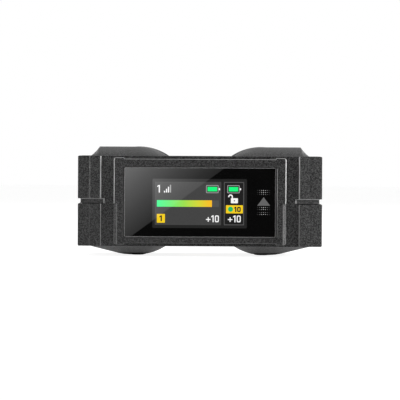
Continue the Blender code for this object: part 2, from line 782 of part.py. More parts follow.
def lower_shell(form, hollows, screw_holes):
    top = -SEAM_DROP - SEAM_GAP / 2
    shell = case_half("lower_shell", form, -LOBE_CREST - CUT, top)
    cut(shell, *hollows)
    floor = -CAVITY_HALF_HEIGHT - WALL / 2
    for place, depth in CASE_SCREW_DEPTHS.items():
        join(shell, rod(f"lower_boss_{place}", "height", (floor, top), (0, depth), CASE_BOSS_RADIUS))
    centre = (0, INSERT_DEPTH)
    ends = (floor, insert_top())
    join(shell, rod("insert_boss", "height", ends, centre, INSERT_BOSS_RADIUS, steps=ROUND_STEPS))
    ends = (-DECK - CUT, insert_top() + CUT)
    cut(shell, rod("insert_hole", "height", ends, centre, INSERT_RADIUS + GAP, steps=ROUND_STEPS))
    cut(shell, *screw_holes)
    for side_name, side in SIDES.items():
        middle = side * TUBE_OFFSET
        half = FOOT_WIDTH / 2 + GAP
        depths = (FOOT_START - GAP, FOOT_START + FOOT_LENGTH + GAP)
        heights = (-LOBE_CREST - CUT, foot_floor() + GAP)
        cut(shell, block(f"foot_pocket_{side_name}", (middle - half, middle + half), depths, heights))
    cut(shell, jack_opening("line_out_opening", -JACK_RISE))


def front_bezel():
    outline = rounded_rectangle(2 * BEZEL_HALF_WIDTH, 2 * BEZEL_HALF_HEIGHT, BEZEL_CORNER)
    bezel = outlined("front_bezel", [outline], (0, BEZEL_PLATE), "front", "case_plastic")
    plug = block(
        "bezel_plug",
        (-PLUG_HALF_WIDTH, PLUG_HALF_WIDTH),
        (BEZEL_PLATE / 2, BEZEL_BACK),
        (-PLUG_HALF_HEIGHT, PLUG_HALF_HEIGHT),
    )
    join(bezel, plug)
    pocket = rounded_rectangle(GLASS_WIDTH + 2 * GAP, GLASS_HEIGHT + 2 * GAP, GLASS_CORNER + GAP)
    centre = (0, -GLASS_DROP)
    cut(bezel, outlined("glass_pocket", [pocket], (-CUT, LEDGE_FRONT), "front", centre=centre))
    heights = (-GLASS_DROP - WINDOW_HALF_HEIGHT, -GLASS_DROP + WINDOW_HALF_HEIGHT)
    across = (-WINDOW_HALF_WIDTH, WINDOW_HALF_WIDTH)
    cut(bezel, block("display_window", across, (0, BEZEL_BACK + CUT), heights))
    for name, end in (("top", 1), ("bottom", -1)):
        edge = BEZEL_HALF_HEIGHT - BEZEL_NOTCH_DEPTH
        heights = sorted((end * edge, end * (edge + CUT)))
        across = (-GLASS_WIDTH / 2, GLASS_WIDTH / 2)
        cut(bezel, block(f"{name}_notch", across, (-CUT, SHELL_FRONT), heights))
    for side_name, side in SIDES.items():
        inner = BEZEL_HALF_WIDTH - BEZEL_CHAMFER_WIDTH
        run = BEZEL_CHAMFER_WIDTH + CUT
        fall = BEZEL_CHAMFER_DEPTH * run / BEZEL_CHAMFER_WIDTH
        wedge = [
            (side * inner, y_at(-CUT)),
            (side * inner, y_at(0)),
            (side * (inner + run), y_at(fall)),
            (side * (inner + run), y_at(-CUT)),
        ]
        ends = (-DECK, -SEAM_DROP)
        name = f"lower_chamfer_{side_name}"
        cut(bezel, outlined(name, [wedge], ends, "deck", centre=(0, TOTAL_DEPTH / 2)))


def glass_and_gasket():
    centre = (0, -GLASS_DROP)
    outline = rounded_rectangle(GLASS_WIDTH, GLASS_HEIGHT, GLASS_CORNER)
    outlined("display_glass", [outline], (GLASS_INSET, GLASS_BACK), "front", "window_glass", centre)
    ring_outer = rounded_rectangle(GLASS_WIDTH - GAP, GLASS_HEIGHT - GAP, GLASS_CORNER)
    inner_width = 2 * (WINDOW_HALF_WIDTH + GAP)
    inner_height = 2 * (WINDOW_HALF_HEIGHT + GAP)
    ring_inner = rounded_rectangle(inner_width, inner_height, GLASS_CORNER)
    ends = (GASKET_FRONT, GASKET_FRONT + GASKET_THICKNESS)
    outlined("glass_gasket", [ring_outer, ring_inner], ends, "front", "black_rubber", centre)


def display_edge(side):
    return DISPLAY_SHIFT + side * DISPLAY_WIDTH / 2


def display_stack():
    heights = (-DISPLAY_DROP - DISPLAY_HEIGHT / 2, -DISPLAY_DROP + DISPLAY_HEIGHT / 2)
    across = (display_edge(-1), display_edge(1))
    block("display_panel", across, (DISPLAY_FRONT, DISPLAY_BACK), heights, "display_face")
    across = (display_edge(1) + GAP, WINDOW_HALF_WIDTH - GAP)
    depths = (DISPLAY_FRONT, DISPLAY_FRONT + KEY_GUIDE_THICKNESS)
    heights = (-GLASS_DROP - KEY_GUIDE_HEIGHT / 2, -GLASS_DROP + KEY_GUIDE_HEIGHT / 2)
    block("touch_key_guide", across, depths, heights, "clear_plastic")


def display_flex():
    """The ribbon that folds over between the display's back and the main board."""
    front = DISPLAY_BACK + GAP
    back = BOARD_FRONT - GAP
    radius = (back - front) / 2
    turn = -CAVITY_HALF_HEIGHT + GAP + radius
    path = [(front, turn + FLEX_REACH)]
    for step in range(FLEX_STEPS + 1):
        angle = math.pi * step / FLEX_STEPS
        path.append((front + radius * (1 - math.cos(angle)), turn - radius * math.sin(angle)))
    path.append((back, turn + FLEX_REACH))
    points = []
    for depth, height in path:
        points.append((GAP, y_at(depth), z_at(height)))
        points.append((GAP + FLEX_WIDTH, y_at(depth), z_at(height)))
    faces = [(2 * i, 2 * i + 1, 2 * i + 3, 2 * i + 2) for i in range(len(path) - 1)]
    mesh = bpy.data.meshes.new("display_flex")
    mesh.from_pydata(points, [], faces)
    ribbon = add_object("display_flex", mesh, "flex_film")
    thickness = ribbon.modifiers.new("thickness", "SOLIDIFY")
    thickness.thickness = FLEX_THICKNESS
    thickness.offset = 0


def main_board():
    """The vertical board behind the display, notched for the sunk sockets, and its radio can."""
    across = (-BOARD_HALF_WIDTH, BOARD_HALF_WIDTH)
    heights = (-BOARD_HALF_HEIGHT, BOARD_HALF_HEIGHT)
    board = block("main_board", across, (BOARD_FRONT, BOARD_BACK), heights, "circuit_board")
    depths = (BOARD_FRONT - CUT, BOARD_BACK + CUT)
    usb_half = USB_WIDTH / 2 + GAP
    notch = (-BOARD_HALF_WIDTH - CUT, -USB_OUTER + USB_LENGTH + GAP)
    cut(board, block("usb_notch", notch, depths, (-usb_half, usb_half)))
    notch = (CAVITY_HALF_WIDTH - GAP - JACK_LENGTH - GAP, BOARD_HALF_WIDTH + CUT)
    jack_half = JACK_HEIGHT / 2 + GAP
    for name, height in (("headphone", JACK_RISE), ("line_out", -JACK_RISE)):
        cut(board, block(f"{name}_notch", notch, depths, (height - jack_half, height + jack_half)))
    depths = (BOARD_FRONT - GAP - SHIELD_THICKNESS, BOARD_FRONT - GAP)
    heights = (-SHIELD_HEIGHT / 2, SHIELD_HEIGHT / 2)
    block("rf_shield", (-GAP - SHIELD_WIDTH, -GAP), depths, heights, "bright_steel")


def usb_socket():
    """A steel shell, open to the left, with its contact tongue."""
    across = (-USB_OUTER, -USB_OUTER + USB_LENGTH)
    centre = (BOARD_MIDDLE, 0)
    outline = [upright_pill(USB_WIDTH, USB_THICKNESS)]
    socket = outlined("usb_socket", outline, across, "side", "bright_steel", centre)
    mouth = (-USB_OUTER - CUT, across[1] - USB_WALL)
    outline = [upright_pill(USB_WIDTH - 2 * USB_WALL, USB_THICKNESS - 2 * USB_WALL)]
    cut(socket, outlined("usb_mouth", outline, mouth, "side", centre=centre))
    tongue = (-USB_OUTER + USB_WALL, across[1] - USB_WALL / 2)
    depths = (BOARD_MIDDLE - USB_TONGUE / 2, BOARD_MIDDLE + USB_TONGUE / 2)
    half = (USB_WIDTH - USB_THICKNESS) / 2
    join(socket, block("usb_tongue", tongue, depths, (-half, half)))


def jacks():
    """The two 3.5 mm sockets, each a body behind the wall with a round nose through it."""
    half_depth = TUBE_FRONT - GAP - BOARD_MIDDLE
    depths = (BOARD_MIDDLE - half_depth, BOARD_MIDDLE + half_depth)
    outer = CAVITY_HALF_WIDTH - GAP
    inner = outer - JACK_LENGTH
    nose = (outer - GAP, HALF_WIDTH - PORT_INSET)
    bore = (inner + WALL, HALF_WIDTH + CUT)
    for name, height in (("headphone_jack", JACK_RISE), ("line_out_jack", -JACK_RISE)):
        heights = (height - JACK_HEIGHT / 2, height + JACK_HEIGHT / 2)
        jack = block(name, (inner, outer), depths, heights, "black_plastic")
        centre = (BOARD_MIDDLE, height)
        join(jack, rod(name + "_nose", "across", nose, centre, JACK_NOSE_RADIUS))
        cut(jack, rod(name + "_bore", "across", bore, centre, JACK_BORE_RADIUS))


def antennas():
    for side_name, side in SIDES.items():
        outer = CAVITY_HALF_WIDTH - GAP
        across = sorted((side * (outer - ANTENNA_THICKNESS), side * outer))
        depths = (ANTENNA_START, ANTENNA_START + ANTENNA_LENGTH)
        heights = (-ANTENNA_HEIGHT / 2, ANTENNA_HEIGHT / 2)
        block("antenna_" + side_name, across, depths, heights, "gold_contact")


def keys():
    """The small board under the top deck, its switches, the light pipe and the two buttons."""
    half = tube_edge(KEY_BOARD_BOTTOM) - GAP
    depths = (KEY_BOARD_START, KEY_BOARD_END)
    block("key_board", (-half, half), depths, (KEY_BOARD_BOTTOM, KEY_BOARD_TOP), "circuit_board")
    centre = (0, KEY_BOARD_START + LIGHT_PIPE_START)
    ends = (KEY_BOARD_TOP + GAP, DECK - BUTTON_INSET)
    rod("status_light_pipe", "height", ends, centre, LIGHT_PIPE_RADIUS, "clear_plastic")
    for name, start in BUTTON_STARTS.items():
        depth = KEY_BOARD_START + start
        key_switch(name, depth)
        key_button(name, depth)


def key_switch(name, depth):
    half = SWITCH_SIDE / 2
    depths = (depth - half, depth + half)
    switch = block(f"{name}_switch", (-half, half), depths, (SWITCH_BOTTOM, SWITCH_TOP), "bright_steel")
    ends = (SWITCH_TOP - SWITCH_WELL_DEPTH, SWITCH_TOP + CUT)
    radius = BUTTON_STEM_RADIUS + SWITCH_WELL_CLEARANCE
    cut(switch, rod(f"{name}_switch_well", "height", ends, (0, depth), radius))


def key_button(name, depth):
    """A button that stands flush in the deck, with a flange that keeps it in and a stem on its switch."""
    ends = (KEY_FLANGE_BOTTOM, DECK - BUTTON_INSET)
    button = outlined(
        f"{name}_button",
        [pill(BUTTON_WIDTH, BUTTON_LENGTH)],
        ends,
        "deck",
        "black_plastic",
        (0, depth),
    )
    flange = [pill(BUTTON_WIDTH + 2 * BUTTON_FLANGE, BUTTON_LENGTH + 2 * BUTTON_FLANGE)]
    ends = (KEY_FLANGE_BOTTOM - BUTTON_INSET, KEY_FLANGE_TOP)
    join(button, outlined(f"{name}_button_flange", flange, ends, "deck", centre=(0, depth)))
    ends = (SWITCH_TOP - BUTTON_STEM_DIP, KEY_FLANGE_TOP - BUTTON_INSET)
    join(button, rod(f"{name}_button_stem", "height", ends, (0, depth), BUTTON_STEM_RADIUS))


def rear_bulkhead(form, screw_holes):
    across = (-HALF_WIDTH - CUT, HALF_WIDTH + CUT)
    heights = (-LOBE_CREST - CUT, LOBE_CREST + CUT)
    bulkhead = block("rear_bulkhead", across, (BULKHEAD_FRONT, BULKHEAD_BACK), heights, "case_plastic")
    combine(bulkhead, "INTERSECT", form)
    for side_name, side in SIDES.items():
        ends = (BULKHEAD_FRONT - CUT, BULKHEAD_BACK + CUT)
        centre = (side * TUBE_OFFSET, 0)
        cut(bulkhead, rod("tube_hole_" + side_name, "depth", ends, centre, BORE_RADIUS, steps=ROUND_STEPS))
    cut(bulkhead, *screw_holes)


def battery_bay(side_name, side):
    """What stays in a bay: the tube, the front contact with its spring, and the cell."""
    across = side * TUBE_OFFSET
    lip = TUBE_INNER_RADIUS - TUBE_LIP_WIDTH
    tube = [
        (TUBE_OUTER_RADIUS, TUBE_BACK),
        (TUBE_OUTER_RADIUS, TUBE_FRONT),
        (lip, TUBE_FRONT),
        (lip, TUBE_FRONT + TUBE_LIP),
        (TUBE_INNER_RADIUS, TUBE_FRONT + TUBE_LIP),
        (TUBE_INNER_RADIUS, TUBE_BACK),
    ]
    turned("battery_tube_" + side_name, tube, "depth", (across, 0), "black_plastic", closed=True)
    ends = (CONTACT_FRONT, CONTACT_BACK)
    name = "contact_disc_" + side_name
    rod(name, "depth", ends, (across, 0), CELL_RADIUS, "gold_contact", ROUND_STEPS)
    contact_spring("contact_spring_" + side_name, across)
    shoulder = CELL_FRONT + CELL_NUB_LENGTH
    cell = [
        (0, CELL_BACK),
        (CELL_RADIUS, CELL_BACK),
        (CELL_RADIUS, shoulder),
        (CELL_NUB_RADIUS, shoulder),
        (CELL_NUB_RADIUS, CELL_FRONT),
        (0, CELL_FRONT),
    ]
    turned("battery_cell_" + side_name, cell, "depth", (across, 0), "cell_wrap")


def contact_spring(name, across):
    """A conical spring between the front contact and the cell's nub."""
    curve = bpy.data.curves.new(name, "CURVE")
    curve.dimensions = "3D"
    curve.bevel_depth = SPRING_WIRE_RADIUS
    curve.bevel_resolution = 1
    curve.use_fill_caps = True
    count = int(SPRING_TURNS * SPRING_TURN_STEPS) + 1
    spline = curve.splines.new("POLY")
    spline.points.add(count - 1)
    first = CONTACT_BACK + GAP + SPRING_WIRE_RADIUS
    last = CELL_FRONT - GAP - SPRING_WIRE_RADIUS
    for i, point in enumerate(spline.points):
        share = i / (count - 1)
        angle = math.tau * SPRING_TURNS * share
        radius = SPRING_OUTER_RADIUS + (SPRING_INNER_RADIUS - SPRING_OUTER_RADIUS) * share
        depth = first + (last - first) * share
        point.co = (radius * math.cos(angle), depth, radius * math.sin(angle), 1)
    spring = add_object(name, curve, "bright_steel")
    spring.location = (across, y_at(0), z_at(0))


def battery_cap(side_name, side):
    """The turning cap with its seal and contact, all on an empty on the battery axis."""
    across = side * TUBE_OFFSET
    pivot = new_empty("cap_pivot_" + side_name, across, y_at(0), z_at(0))
    pivot.parent = UNIT
    seal_ring_radius = TUBE_INNER_RADIUS - SEAL_TUBE_GAP - SEAL_RADIUS
    neck = seal_ring_radius - SEAL_RADIUS - GAP
    lip = seal_ring_radius + SEAL_RADIUS / 2
    grip = CAP_RADIUS - CAP_GRIP_STEP
    profile = [
        (0, TOTAL_DEPTH),
        (grip - CAP_ROUND, TOTAL_DEPTH),
        (grip, TOTAL_DEPTH - CAP_ROUND),
        (grip, CAP_RIM_BACK),
        (CAP_RADIUS - CAP_ROUND, CAP_RIM_BACK),
        (CAP_RADIUS, CAP_RIM_BACK - CAP_ROUND),
        (CAP_RADIUS, CAP_RIM_FRONT + CAP_ROUND),
        (CAP_RADIUS - CAP_ROUND, CAP_RIM_FRONT),
        (neck, CAP_RIM_FRONT),
        (neck, CAP_FRONT + CAP_LIP_THICKNESS),
        (lip, CAP_FRONT + CAP_LIP_THICKNESS),
        (lip, CAP_FRONT),
        (0, CAP_FRONT),
    ]
    cap = turned("battery_cap_" + side_name, profile, "depth", (across, 0), "cap_metal")
    for number in range(CAP_SCALLOPS):
        angle = math.tau * (number + 0.5) / CAP_SCALLOPS
        reach = grip + CAP_SCALLOP_RADIUS - CAP_SCALLOP_DEPTH
        centre = (across + reach * math.cos(angle), reach * math.sin(angle))
        ends = (CAP_RIM_BACK, TOTAL_DEPTH + CUT)
        name = f"cap_scallop_{side_name}_{number}"
        cut(cap, rod(name, "depth", ends, centre, CAP_SCALLOP_RADIUS, steps=SMALL_ROUND_STEPS))
    half = CAP_SLOT_LENGTH / 2
    depths = (TOTAL_DEPTH - CAP_SLOT_DEPTH, TOTAL_DEPTH + CUT)
    heights = (-CAP_SLOT_WIDTH / 2, CAP_SLOT_WIDTH / 2)
    cut(cap, block(f"cap_slot_{side_name}", (across - half, across + half), depths, heights))
    middle = (CAP_FRONT + CAP_LIP_THICKNESS + CAP_RIM_FRONT) / 2
    ring = []
    for step in range(SEAL_STEPS):
        angle = -math.tau * step / SEAL_STEPS
        radius = seal_ring_radius + SEAL_RADIUS * math.sin(angle)
        ring.append((radius, middle + SEAL_RADIUS * math.cos(angle)))
    ring.reverse()
    seal = turned("cap_seal_" + side_name, ring, "depth", (across, 0), "black_rubber", closed=True)
    ends = (CAP_CONTACT_FRONT, CAP_CONTACT_FRONT + CAP_CONTACT_THICKNESS)
    name = "cap_contact_" + side_name
    contact = rod(name, "depth", ends, (across, 0), CAP_CONTACT_RADIUS, "gold_contact", ROUND_STEPS)
    for piece in (cap, seal, contact):
        piece.parent = pivot
        piece.location = piece.location - pivot.location


def mount_insert():
    bottom = -DECK + INSERT_INSET
    ends = (bottom, insert_top())
    insert = rod("mount_insert", "height", ends, (0, INSERT_DEPTH), INSERT_RADIUS, "brass", ROUND_STEPS)
    ends = (bottom - CUT, insert_top() + CUT)
    cut(insert, rod("insert_bore", "height", ends, (0, INSERT_DEPTH), INSERT_BORE_RADIUS))


def foot_pads():
    for side_name, side in SIDES.items():
        middle = side * TUBE_OFFSET
        across = (middle - FOOT_WIDTH / 2, middle + FOOT_WIDTH / 2)
        depths = (FOOT_START, FOOT_START + FOOT_LENGTH)
        heights = (-AXIS_HEIGHT, foot_floor())
        block("foot_pad_" + side_name, across, depths, heights, "black_rubber")


def main():
    form = outer_form()
    hollows = case_hollows()
    case_holes = case_screws()
    bulkhead_holes = bulkhead_screws()
    upper_shell(form, hollows, case_holes + bulkhead_holes[:2])
    lower_shell(form, hollows, case_holes + bulkhead_holes[2:])
    front_bezel()
    glass_and_gasket()
    display_stack()
    display_flex()
    main_board()
    usb_socket()
    jacks()
    antennas()
    keys()
    rear_bulkhead(form, bulkhead_holes)
    for side_name, side in SIDES.items():
        battery_bay(side_name, side)
        battery_cap(side_name, side)
    mount_insert()
    foot_pads()


main()
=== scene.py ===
"""Looks of the wireless receiver unit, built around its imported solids.

Lengths are in millimetres until a mesh is made. A place on the unit is given as x across,
depth behind the bezel's front face, and height above the axis of the battery tubes.
"""

import math

import bmesh
import bpy
from mathutils import Matrix, Vector


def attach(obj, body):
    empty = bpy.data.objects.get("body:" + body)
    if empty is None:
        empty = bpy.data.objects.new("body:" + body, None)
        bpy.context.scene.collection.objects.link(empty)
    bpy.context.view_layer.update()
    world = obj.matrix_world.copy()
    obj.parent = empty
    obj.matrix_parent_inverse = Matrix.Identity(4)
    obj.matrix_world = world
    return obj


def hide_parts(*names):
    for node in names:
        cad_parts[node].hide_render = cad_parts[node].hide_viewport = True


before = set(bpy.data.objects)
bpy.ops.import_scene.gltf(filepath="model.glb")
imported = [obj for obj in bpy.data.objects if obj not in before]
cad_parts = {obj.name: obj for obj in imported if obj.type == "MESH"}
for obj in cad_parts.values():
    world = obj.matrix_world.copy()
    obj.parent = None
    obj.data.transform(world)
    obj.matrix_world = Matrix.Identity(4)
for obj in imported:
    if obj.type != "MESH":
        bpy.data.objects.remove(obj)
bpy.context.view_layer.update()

# Frame of the unit
MM = 0.001
FRONT_Y = -27.6
AXIS_Z = 12.75
TUBE_X = 14.55
BODY = "housing"

# Frame of the photograph
PIXEL = 0.231
MIDDLE_PIXEL = (200.0, 201.25)


def place(x, depth, height):
    """A point of the unit, in metres."""
    return Vector((x * MM, (FRONT_Y + depth) * MM, (AXIS_Z + height) * MM))


def seen(column, row):
    """The x and height of a place on the unit's front, read as a pixel of the photograph."""
    return (column - MIDDLE_PIXEL[0]) * PIXEL, (MIDDLE_PIXEL[1] - row) * PIXEL


# Node materials


def connect(value, socket):
    """Gives a socket its link or its fixed value."""
    if isinstance(value, bpy.types.NodeSocket):
        socket.id_data.links.new(value, socket)
    else:
        socket.default_value = value


def add(tree, kind, inputs=None, **settings):
    """A shader node with its settings and its inputs."""
    node = tree.nodes.new(kind)
    for key, value in settings.items():
        setattr(node, key, value)
    for key, value in (inputs or {}).items():
        connect(value, node.inputs[key])
    return node


def grey(value):
    return (value, value, value, 1.0)


def new_material(name):
    """A new material, with its tree, its principled shader and its object coordinates."""
    material = bpy.data.materials.new(name)
    material.use_nodes = True
    tree = material.node_tree
    shader = tree.nodes["Principled BSDF"]
    coords = add(tree, "ShaderNodeTexCoord").outputs["Object"]
    return material, tree, shader, coords


def noise(tree, coords, scale, detail=2.0, roughness=0.5):
    node = add(
        tree,
        "ShaderNodeTexNoise",
        {"Vector": coords, "Scale": scale, "Detail": detail, "Roughness": roughness},
    )
    return node.outputs["Fac"]


def ramp(tree, factor, stops):
    """A colour ramp; each stop is a position and a colour."""
    node = add(tree, "ShaderNodeValToRGB", {"Fac": factor})
    elements = node.color_ramp.elements
    while len(elements) < len(stops):
        elements.new(0.5)
    for element, (position, colour) in zip(elements, stops):
        element.position = position
        element.color = colour
    return node.outputs["Color"]


def coordinate(tree, coords, axis):
    return add(tree, "ShaderNodeSeparateXYZ", {"Vector": coords}).outputs[axis]


def maths(tree, operation, *values):
    inputs = dict(enumerate(values))
    return add(tree, "ShaderNodeMath", inputs, operation=operation).outputs[0]


def spread(tree, value, low, high, from_low=0.3, from_high=0.7):
    """A value moved from one range to another. Noise mostly lies between 0.3 and 0.7."""
    node = add(
        tree,
        "ShaderNodeMapRange",
        {
            "Value": value,
            "From Min": from_low,
            "From Max": from_high,
            "To Min": low,
            "To Max": high,
        },
    )
    return node.outputs["Result"]


def spread_between(tree, value, low, high, span):
    """The same from a span in millimetres."""
    return spread(tree, value, low, high, span[0] * MM, span[1] * MM)


def relief(tree, height, distance, strength):
    inputs = {"Height": height, "Distance": distance * MM, "Strength": strength}
    return add(tree, "ShaderNodeBump", inputs).outputs["Normal"]


SOCKETS = {
    "colour": "Base Color",
    "rough": "Roughness",
    "normal": "Normal",
    "metal": "Metallic",
    "shine": "Specular IOR Level",
    "sheen": "Sheen Weight",
    "clear": "Transmission Weight",
    "ior": "IOR",
    "glow": "Emission Color",
    "power": "Emission Strength",
}


def set_shader(shader, **values):
    for key, value in values.items():
        connect(value, shader.inputs[SOCKETS[key]])


def scaled(colour, factor):
    return tuple(min(1.0, c * factor) for c in colour[:3]) + (1.0,)


def moulded(name, colour, grain, depth, rough, contrast=0.35, specular=0.5, sheen=0.0):
    """Moulded plastic or rubber: a fine eroded grain in its relief, its colour and its gloss."""
    material, tree, shader, coords = new_material(name)
    fine = noise(tree, coords, grain, 3.0, 0.62)
    broad = noise(tree, coords, grain / 30)
    colours = ramp(
        tree,
        fine,
        [(0.30, scaled(colour, 1 - contrast)), (0.70, scaled(colour, 1 + contrast))],
    )
    set_shader(
        shader,
        colour=colours,
        rough=spread(tree, broad, rough - 0.05, rough + 0.05),
        normal=relief(tree, fine, depth, 1.0),
        shine=specular,
        sheen=sheen,
    )
    return material


# Grain of the case, and the heights from the tube axis between which its finish changes
CASE_CELLS = 6200.0
CASE_RELIEF = 0.030
PALE_CELLS = 1.9
GRAIN_FADES = (10.6, 12.0)
DECK_DULLS = (10.0, 10.4)
LOBE_CLEARS = (10.5, 11.3)
SHINE_GROWS = (-12.15, -10.4)


def case_plastic(name, tone, contrast, rough):
    """The case's dark plastic: eroded all over, more faintly on its rounded lobes. The decks
    are dull, the upper lobes less so, and the shine ends on the lower lobes."""
    material, tree, shader, coords = new_material(name)
    cells = add(
        tree,
        "ShaderNodeTexVoronoi",
        {"Vector": coords, "Scale": CASE_CELLS, "Smoothness": 0.30, "Randomness": 1.0},
        feature="SMOOTH_F1",
    ).outputs["Color"]
    fine = add(tree, "ShaderNodeSeparateColor", {"Color": cells}).outputs["Red"]
    height = maths(tree, "SUBTRACT", coordinate(tree, coords, "Z"), AXIS_Z * MM)
    away = maths(tree, "ABSOLUTE", height)
    share = spread_between(tree, away, 1.0, 0.3, GRAIN_FADES)
    held = maths(tree, "MULTIPLY", maths(tree, "SUBTRACT", fine, 0.5), share)
    grain = maths(tree, "ADD", held, 0.5)
    colours = ramp(
        tree,
        grain,
        [
            (0.30, grey(tone * (1 - contrast))),
            (0.5, grey(tone)),
            (0.70, grey(tone * (1 + PALE_CELLS * contrast))),
        ],
    )
    deck = spread_between(tree, height, 0.0, 0.30, DECK_DULLS)
    lobe = spread_between(tree, height, 0.30, 0.10, LOBE_CLEARS)
    patchy = spread(tree, noise(tree, coords, 90.0), rough - 0.04, rough + 0.04)
    set_shader(
        shader,
        colour=colours,
        rough=maths(tree, "ADD", patchy, maths(tree, "MINIMUM", deck, lobe)),
        normal=relief(tree, grain, CASE_RELIEF, 1.0),
        shine=spread_between(tree, height, 0.0, 0.3, SHINE_GROWS),
    )
    return material


# Heights above the floor between which the painted edge highlight grows paler, and the depth of
# drawn streaks
HIGHLIGHT_GROWS = (10.0, 15.0)
STREAK_DEPTH = 0.004


def painted_highlight_edge():
    """Edges painted pale as a highlight, in patches, and palest on the upper half."""
    material, tree, shader, coords = new_material("painted_highlight_edge")
    highlight_patches = noise(tree, coords, 2600.0, 3.0, 0.6)
    share = spread_between(tree, coordinate(tree, coords, "Z"), 0.35, 1.0, HIGHLIGHT_GROWS)
    pale = ramp(tree, highlight_patches, [(0.3, grey(0.50)), (0.7, grey(0.74))])
    toned = add(tree, "ShaderNodeVectorMath", {0: pale, "Scale": share}, operation="SCALE")
    set_shader(shader, colour=toned.outputs[0], rough=spread(tree, highlight_patches, 0.28, 0.36))
    return material


def metal(name, colour, rough, streak, stretch=(1.0, 1.0, 1.0)):
    """Turned or drawn metal with fine streaks along the axes that stretch leaves small."""
    material, tree, shader, coords = new_material(name)
    shaped = add(tree, "ShaderNodeMapping", {"Vector": coords, "Scale": stretch})
    lines = noise(tree, shaped.outputs["Vector"], streak, 3.0, 0.6)
    broad = noise(tree, coords, 220.0)
    colours = ramp(tree, broad, [(0.3, scaled(colour, 0.88)), (0.7, scaled(colour, 1.06))])
    set_shader(
        shader,
        colour=colours,
        rough=spread(tree, lines, rough - 0.06, rough + 0.08),
        normal=relief(tree, lines, STREAK_DEPTH, 0.6),
        metal=1.0,
    )
    return material


def clear(name, colour, rough, smear):
    """Clear glass or plastic, with faint handling marks in its gloss."""
    material, tree, shader, coords = new_material(name)
    marks = noise(tree, coords, 160.0, 4.0, 0.6)
    tints = ramp(tree, marks, [(0.3, scaled(colour, 0.985)), (0.7, colour)])
    gloss = spread(tree, marks, rough, rough + smear, 0.45, 0.75)
    set_shader(shader, colour=tints, rough=gloss, clear=1.0, ior=1.5)
    return material


def black_glass():
    """Glass with black print behind it, and faint handling marks in its gloss."""
    material, tree, shader, coords = new_material("window_glass")
    marks = noise(tree, coords, 160.0, 4.0, 0.6)
    tones = ramp(tree, marks, [(0.3, grey(0.0036)), (0.7, grey(0.0046))])
    set_shader(shader, colour=tones, rough=spread(tree, marks, 0.0, 0.03, 0.5, 0.8))
    return material


def lit(name, stops, strength=1.0, along=None):
    """A lit mark of the display, bonded to its glass. Along gives the two x places between
    which the stops run."""
    material, tree, shader, coords = new_material(name)
    cells = noise(tree, coords, 2600.0, 1.0)
    if along is None:
        glow = ramp(tree, cells, [(0.3, scaled(stops[0], 0.93)), (0.7, stops[0])])
    else:
        share = spread_between(tree, coordinate(tree, coords, "X"), 0.0, 1.0, along)
        last = len(stops) - 1
        glow = ramp(tree, share, [(n / last, c) for n, c in enumerate(stops)])
    set_shader(
        shader,
        colour=grey(0.003),
        rough=spread(tree, cells, 0.0, 0.03, 0.5, 0.8),
        shine=0.75,
        glow=glow,
        power=strength,
    )
    return material


CASE_TONE = 0.026

LOOKS = {
    "case": case_plastic("case_plastic", CASE_TONE, 1.0, 0.55),
    "bezel": case_plastic("bezel_plastic", CASE_TONE, 1.0, 0.55),
    "edge": painted_highlight_edge(),
    "groove": case_plastic("groove_painted_light", 0.045, 0.5, 0.55),
    "chamfer": case_plastic("bezel_chamfer_painted_highlight", 0.065, 0.5, 0.5),
    "glass_edge_highlight": moulded("glass_edge_highlight", grey(0.60), 1800.0, 0.003, 0.4, 0.2),
    "black": moulded("black_plastic", grey(0.014), 2400.0, 0.010, 0.42),
    "rubber": moulded("black_rubber", grey(0.026), 1500.0, 0.020, 0.72, 0.3, 0.3, 0.15),
    "seal": moulded("seal_rubber_painted_light", grey(0.045), 1500.0, 0.010, 0.6, 0.3, 0.3),
    "button": moulded("button_rubber", grey(0.030), 2600.0, 0.012, 0.55, 0.3, 0.4),
    "print": moulded("printed_mark", grey(0.42), 2200.0, 0.003, 0.6, 0.08, 0.3),
    "board": moulded("circuit_board", (0.012, 0.07, 0.03, 1.0), 900.0, 0.01, 0.4),
    "flex": moulded("flex_film", (0.30, 0.13, 0.02, 1.0), 700.0, 0.005, 0.35),
    "wrap": moulded("cell_wrap", (0.02, 0.035, 0.10, 1.0), 500.0, 0.005, 0.3),
    "glass": black_glass(),
    "clear": clear("clear_plastic", (0.90, 0.92, 0.92, 1.0), 0.12, 0.10),
    "steel": metal("bright_steel", (0.60, 0.60, 0.60, 1.0), 0.26, 900.0, (1, 6, 1)),
    "screw": metal("dark_screw", (0.10, 0.10, 0.105, 1.0), 0.32, 2500.0),
    "gold": metal("gold_contact", (0.83, 0.60, 0.22, 1.0), 0.22, 1500.0),
    "brass": metal("brass", (0.78, 0.57, 0.25, 1.0), 0.28, 1800.0),
    "cap": metal("cap_metal", (0.060, 0.061, 0.064, 1.0), 0.36, 1600.0, (1, 5, 1)),
}


# Pieces


def in_scene(name, data):
    obj = bpy.data.objects.new(name, data)
    bpy.context.scene.collection.objects.link(obj)
    return obj


def new_mesh(name, points, faces):
    mesh = bpy.data.meshes.new(name)
    mesh.from_pydata([tuple(p) for p in points], [], faces)
    return mesh


def shown_mesh(obj):
    """A new mesh of what an object shows, with its modifiers or its curve worked out."""
    bpy.context.view_layer.update()
    graph = bpy.context.evaluated_depsgraph_get()
    return bpy.data.meshes.new_from_object(obj.evaluated_get(graph))


def piece(name, points, faces, material, node=None, slot=None, body=BODY):
    """A mesh piece from points in metres, riding on a body and standing for a node."""
    mesh = new_mesh(name, points, faces)
    obj = in_scene(name, mesh)
    tidy(mesh)
    return dressed(obj, material, node, slot, body)


def dressed(obj, material, node=None, slot=None, body=BODY):
    obj.data.materials.clear()
    obj.data.materials.append(LOOKS[material])
    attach(obj, body)
    if node is not None:
        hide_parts(node)
    return obj


